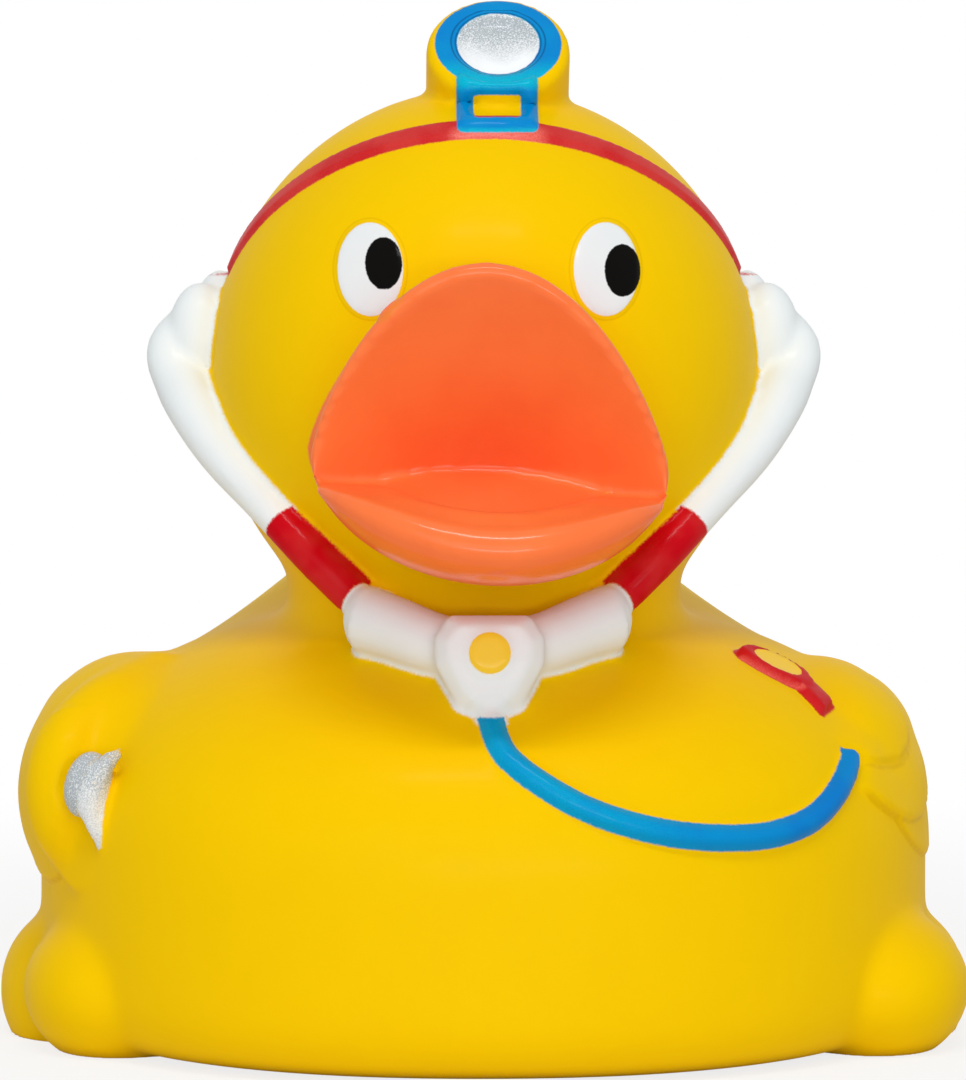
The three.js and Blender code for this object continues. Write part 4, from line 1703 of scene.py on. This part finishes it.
@dataclass
class Duck:
    """The whole moulded duck."""

    grain: float = 0.35 * MM
    rounds: int = 3
    most_triangles: int = 190000
    vent: float = 3.2 * MM
    vent_depth: float = 1.6 * MM
    far: float = 5.0 * MM
    eye_clearance: float = 0.35 * MM

    def __post_init__(self) -> None:
        """Lays out the trunk and what is moulded on it."""
        self.trunk = Trunk()
        self.limbs = Limbs(self.trunk)
        mirror, eyes, watch = HeadMirror(self.trunk), Eyes(self.trunk), Watch(self.trunk)
        self.solids = (Bill(self.trunk), mirror, Stethoscope(self.trunk), Instrument(self.trunk))
        self.reliefs = (self.limbs, mirror, eyes, watch)
        self.painted = (*self.solids, eyes, watch, self.limbs)

    def emboss(self, skin: Piece) -> None:
        """Raises the low reliefs out of the skin and flattens the base, with its vent.

        Args:
            skin: The fused skin.
        """
        points, normals = Bench.points(skin), Bench.points(skin, "normal")
        clear = smooth_step(0.2 * MM, 1.0 * MM, np.minimum(*[item.near(points) for item in self.solids[2:]]))
        lift = np.maximum.reduce([item.lift(points) for item in self.reliefs]) * clear
        points = points + normals * lift[:, None]
        points[:, 2] = np.maximum(points[:, 2], 0.0)
        from_vent = np.hypot(points[:, 0], points[:, 1])
        hole = (points[:, 2] < 0.5 * MM) * (1 - smooth_step(0.4 * self.vent, 0.55 * self.vent, from_vent))
        points[:, 2] += hole * self.vent_depth
        Bench.move(skin, points)

    def coat(self, skin: Piece) -> None:
        """Stores each coat's distance on the skin, and how thin the spray is, together with the painted shade,
        reflection and highlight kept in the same attribute.

        Args:
            skin: The fused skin.
        """
        points = Bench.points(skin)
        coats = {coat: np.full(len(points), self.far) for coat in Coat}
        coats[Coat.THIN] = np.zeros(len(points))
        for item in self.painted:
            for coat, gap in item.paint(points).items():
                pick = np.maximum if coat is Coat.THIN else np.minimum
                coats[coat] = pick(coats[coat], gap)
        coats[Coat.EYE] = np.maximum(coats[Coat.EYE], self.eye_clearance - coats[Coat.BILL])
        for coat, gap in coats.items():
            layer = skin.data.attributes.new(coat.value, "FLOAT", "POINT")
            most = self.far / MM
            layer.data.foreach_set("value", gap if coat is Coat.THIN else np.clip(gap / MM, -most, most))

    def build(self) -> Piece:
        """Fuses, embosses, thins and paints the duck.

        Returns:
            The finished piece.
        """
        figure = self.limbs.build(self.trunk.build())
        LOG.info("figure: %d faces", len(figure.data.polygons))
        pieces = [figure]
        for item in self.solids:
            made = item.build()
            LOG.info("%s: %s", type(item).__name__, ", ".join(piece.name for piece in made))
            pieces += made
        skin = Bench.fuse("duck_skin", pieces, self.grain, self.rounds)
        self.emboss(skin)
        triangles = 2 * len(skin.data.polygons)
        LOG.info("skin: %d triangles before thinning", triangles)
        if triangles > self.most_triangles:
            Bench.finish(skin, "DECIMATE", ratio=self.most_triangles / triangles)
        bpy.ops.object.shade_smooth()
        self.coat(skin)
        skin.data.materials.clear()
        skin.data.materials.append(PaintShop().vinyl())
        return skin


@dataclass(frozen=True)
class Lamp:
    """A soft lamp, with its place and size in metres and its power in watts."""

    name: str
    place: Triple
    size: Pair
    power: float


@dataclass
class Studio:
    """White floor and surround, soft lamps, and the camera with its angles in degrees."""

    lamps: tuple[Lamp, ...] = (
        Lamp("key", (-0.12, -1.0, 0.18), (0.9, 0.6), 1.95),
        Lamp("fill", (0.1, -0.9, 0.05), (0.6, 0.08), 1.2),
        Lamp("strip", (0.0, -0.36, 0.62), (0.3, 0.03), 1.35),
    )
    world_light: float = 0.51
    world_seen: float = 1.0
    floor_size: float = 4.0
    floor_grey: float = 0.86
    floor_glow: Pair = (0.8, 1.0)
    glow_run: Pair = (60 * MM, 180 * MM)

    camera_distance: float = 500.0 * MM
    camera_height: float = 4.0
    camera_turn: float = -1.0
    aim: float = 38.0 * MM
    lens: float = 212.9
    sensor: float = 36.0

    def surround(self) -> None:
        """Lights the duck evenly from all round; the lens and gloss see plain white."""
        world = bpy.data.worlds.new("surround")
        world.use_nodes = True
        wiring = Wiring(world.node_tree)
        path = wiring.node("ShaderNodeLightPath")
        seen = wiring.math("MAXIMUM", path.outputs["Is Camera Ray"], path.outputs["Is Glossy Ray"])
        seen = wiring.math("MAXIMUM", seen, path.outputs["Is Transmission Ray"])
        sky = wiring.node("ShaderNodeBackground")
        wiring.feed(sky.inputs["Strength"], wiring.blend(seen, self.world_light, self.world_seen))
        leave = wiring.node("ShaderNodeOutputWorld")
        wiring.feed(leave.inputs["Surface"], sky.outputs["Background"])
        sky.inputs["Color"].default_value = (1.0, 1.0, 1.0, 1.0)
        bpy.context.scene.world = world

    def floor(self) -> Piece:
        """Lays a white floor that shows the duck's shadow.

        Returns:
            The floor.
        """
        bpy.ops.object.select_all(action="DESELECT")
        bpy.ops.mesh.primitive_plane_add(size=self.floor_size)
        floor = bpy.context.active_object
        floor.name = "floor"
        material = bpy.data.materials.new("white_floor")
        material.use_nodes = True
        wiring = Wiring(material.node_tree)
        path = wiring.node("ShaderNodeLightPath")
        matte = wiring.node("ShaderNodeBsdfDiffuse")
        matte.inputs["Color"].default_value = (*[self.floor_grey] * 3, 1.0)
        glow = wiring.node("ShaderNodeEmission")
        glow.inputs["Color"].default_value = (1.0, 1.0, 1.0, 1.0)
        away = wiring.node("ShaderNodeVectorMath", operation="LENGTH")
        wiring.feed(away.inputs[0], wiring.node("ShaderNodeTexCoord").outputs["Object"])
        bright = wiring.ramp(away.outputs["Value"], *self.glow_run, *self.floor_glow)
        share = wiring.math("MULTIPLY", path.outputs["Is Camera Ray"], bright)
        mix = wiring.node("ShaderNodeMixShader")
        wiring.feed(mix.inputs[0], share)
        wiring.feed(mix.inputs[1], matte.outputs[0])
        wiring.feed(mix.inputs[2], glow.outputs[0])
        leave = wiring.node("ShaderNodeOutputMaterial")
        wiring.feed(leave.inputs["Surface"], mix.outputs[0])
        floor.data.materials.append(material)
        return floor

    def hang(self, lamp: Lamp) -> None:
        """Hangs a lamp that looks at the duck.

        Args:
            lamp: The lamp.
        """
        light = bpy.data.lights.new(lamp.name, "AREA")
        light.shape = "RECTANGLE"
        light.size, light.size_y = lamp.size
        light.energy = lamp.power
        piece = bpy.data.objects.new(lamp.name, light)
        bpy.context.scene.collection.objects.link(piece)
        piece.location = lamp.place
        piece.rotation_euler = (Vector((0, 0, self.aim)) - piece.location).to_track_quat("-Z", "Y").to_euler()

    def camera(self) -> None:
        """Sets the camera at the height and turn of the view."""
        lens = bpy.data.cameras.new("camera")
        lens.lens = self.lens
        lens.sensor_width = self.sensor
        camera = bpy.data.objects.new("camera", lens)
        bpy.context.scene.collection.objects.link(camera)
        height, turn = math.radians(self.camera_height), math.radians(self.camera_turn)
        away = Vector((math.sin(turn) * math.cos(height), -math.cos(turn) * math.cos(height), math.sin(height)))
        camera.location = Vector((0, 0, self.aim)) + away * self.camera_distance
        camera.rotation_euler = (-away).to_track_quat("-Z", "Y").to_euler()
        bpy.context.scene.camera = camera

    def build(self) -> None:
        """Sets up the whole studio."""
        self.surround()
        self.floor()
        for lamp in self.lamps:
            self.hang(lamp)
        self.camera()
        bpy.context.scene.view_settings.view_transform = "Standard"


def main() -> None:
    """Builds the duck and its studio, and logs the duck's triangles."""
    logging.basicConfig(level=logging.INFO, format="%(name)s: %(message)s")
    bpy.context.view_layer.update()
    Studio().build()
    duck = Duck().build()
    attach(duck, "root")
    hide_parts(CAD_NODE)
    LOG.info("%s: %d triangles", duck.name, sum(len(p.vertices) - 2 for p in duck.data.polygons))


if __name__ == "__main__":
    main()
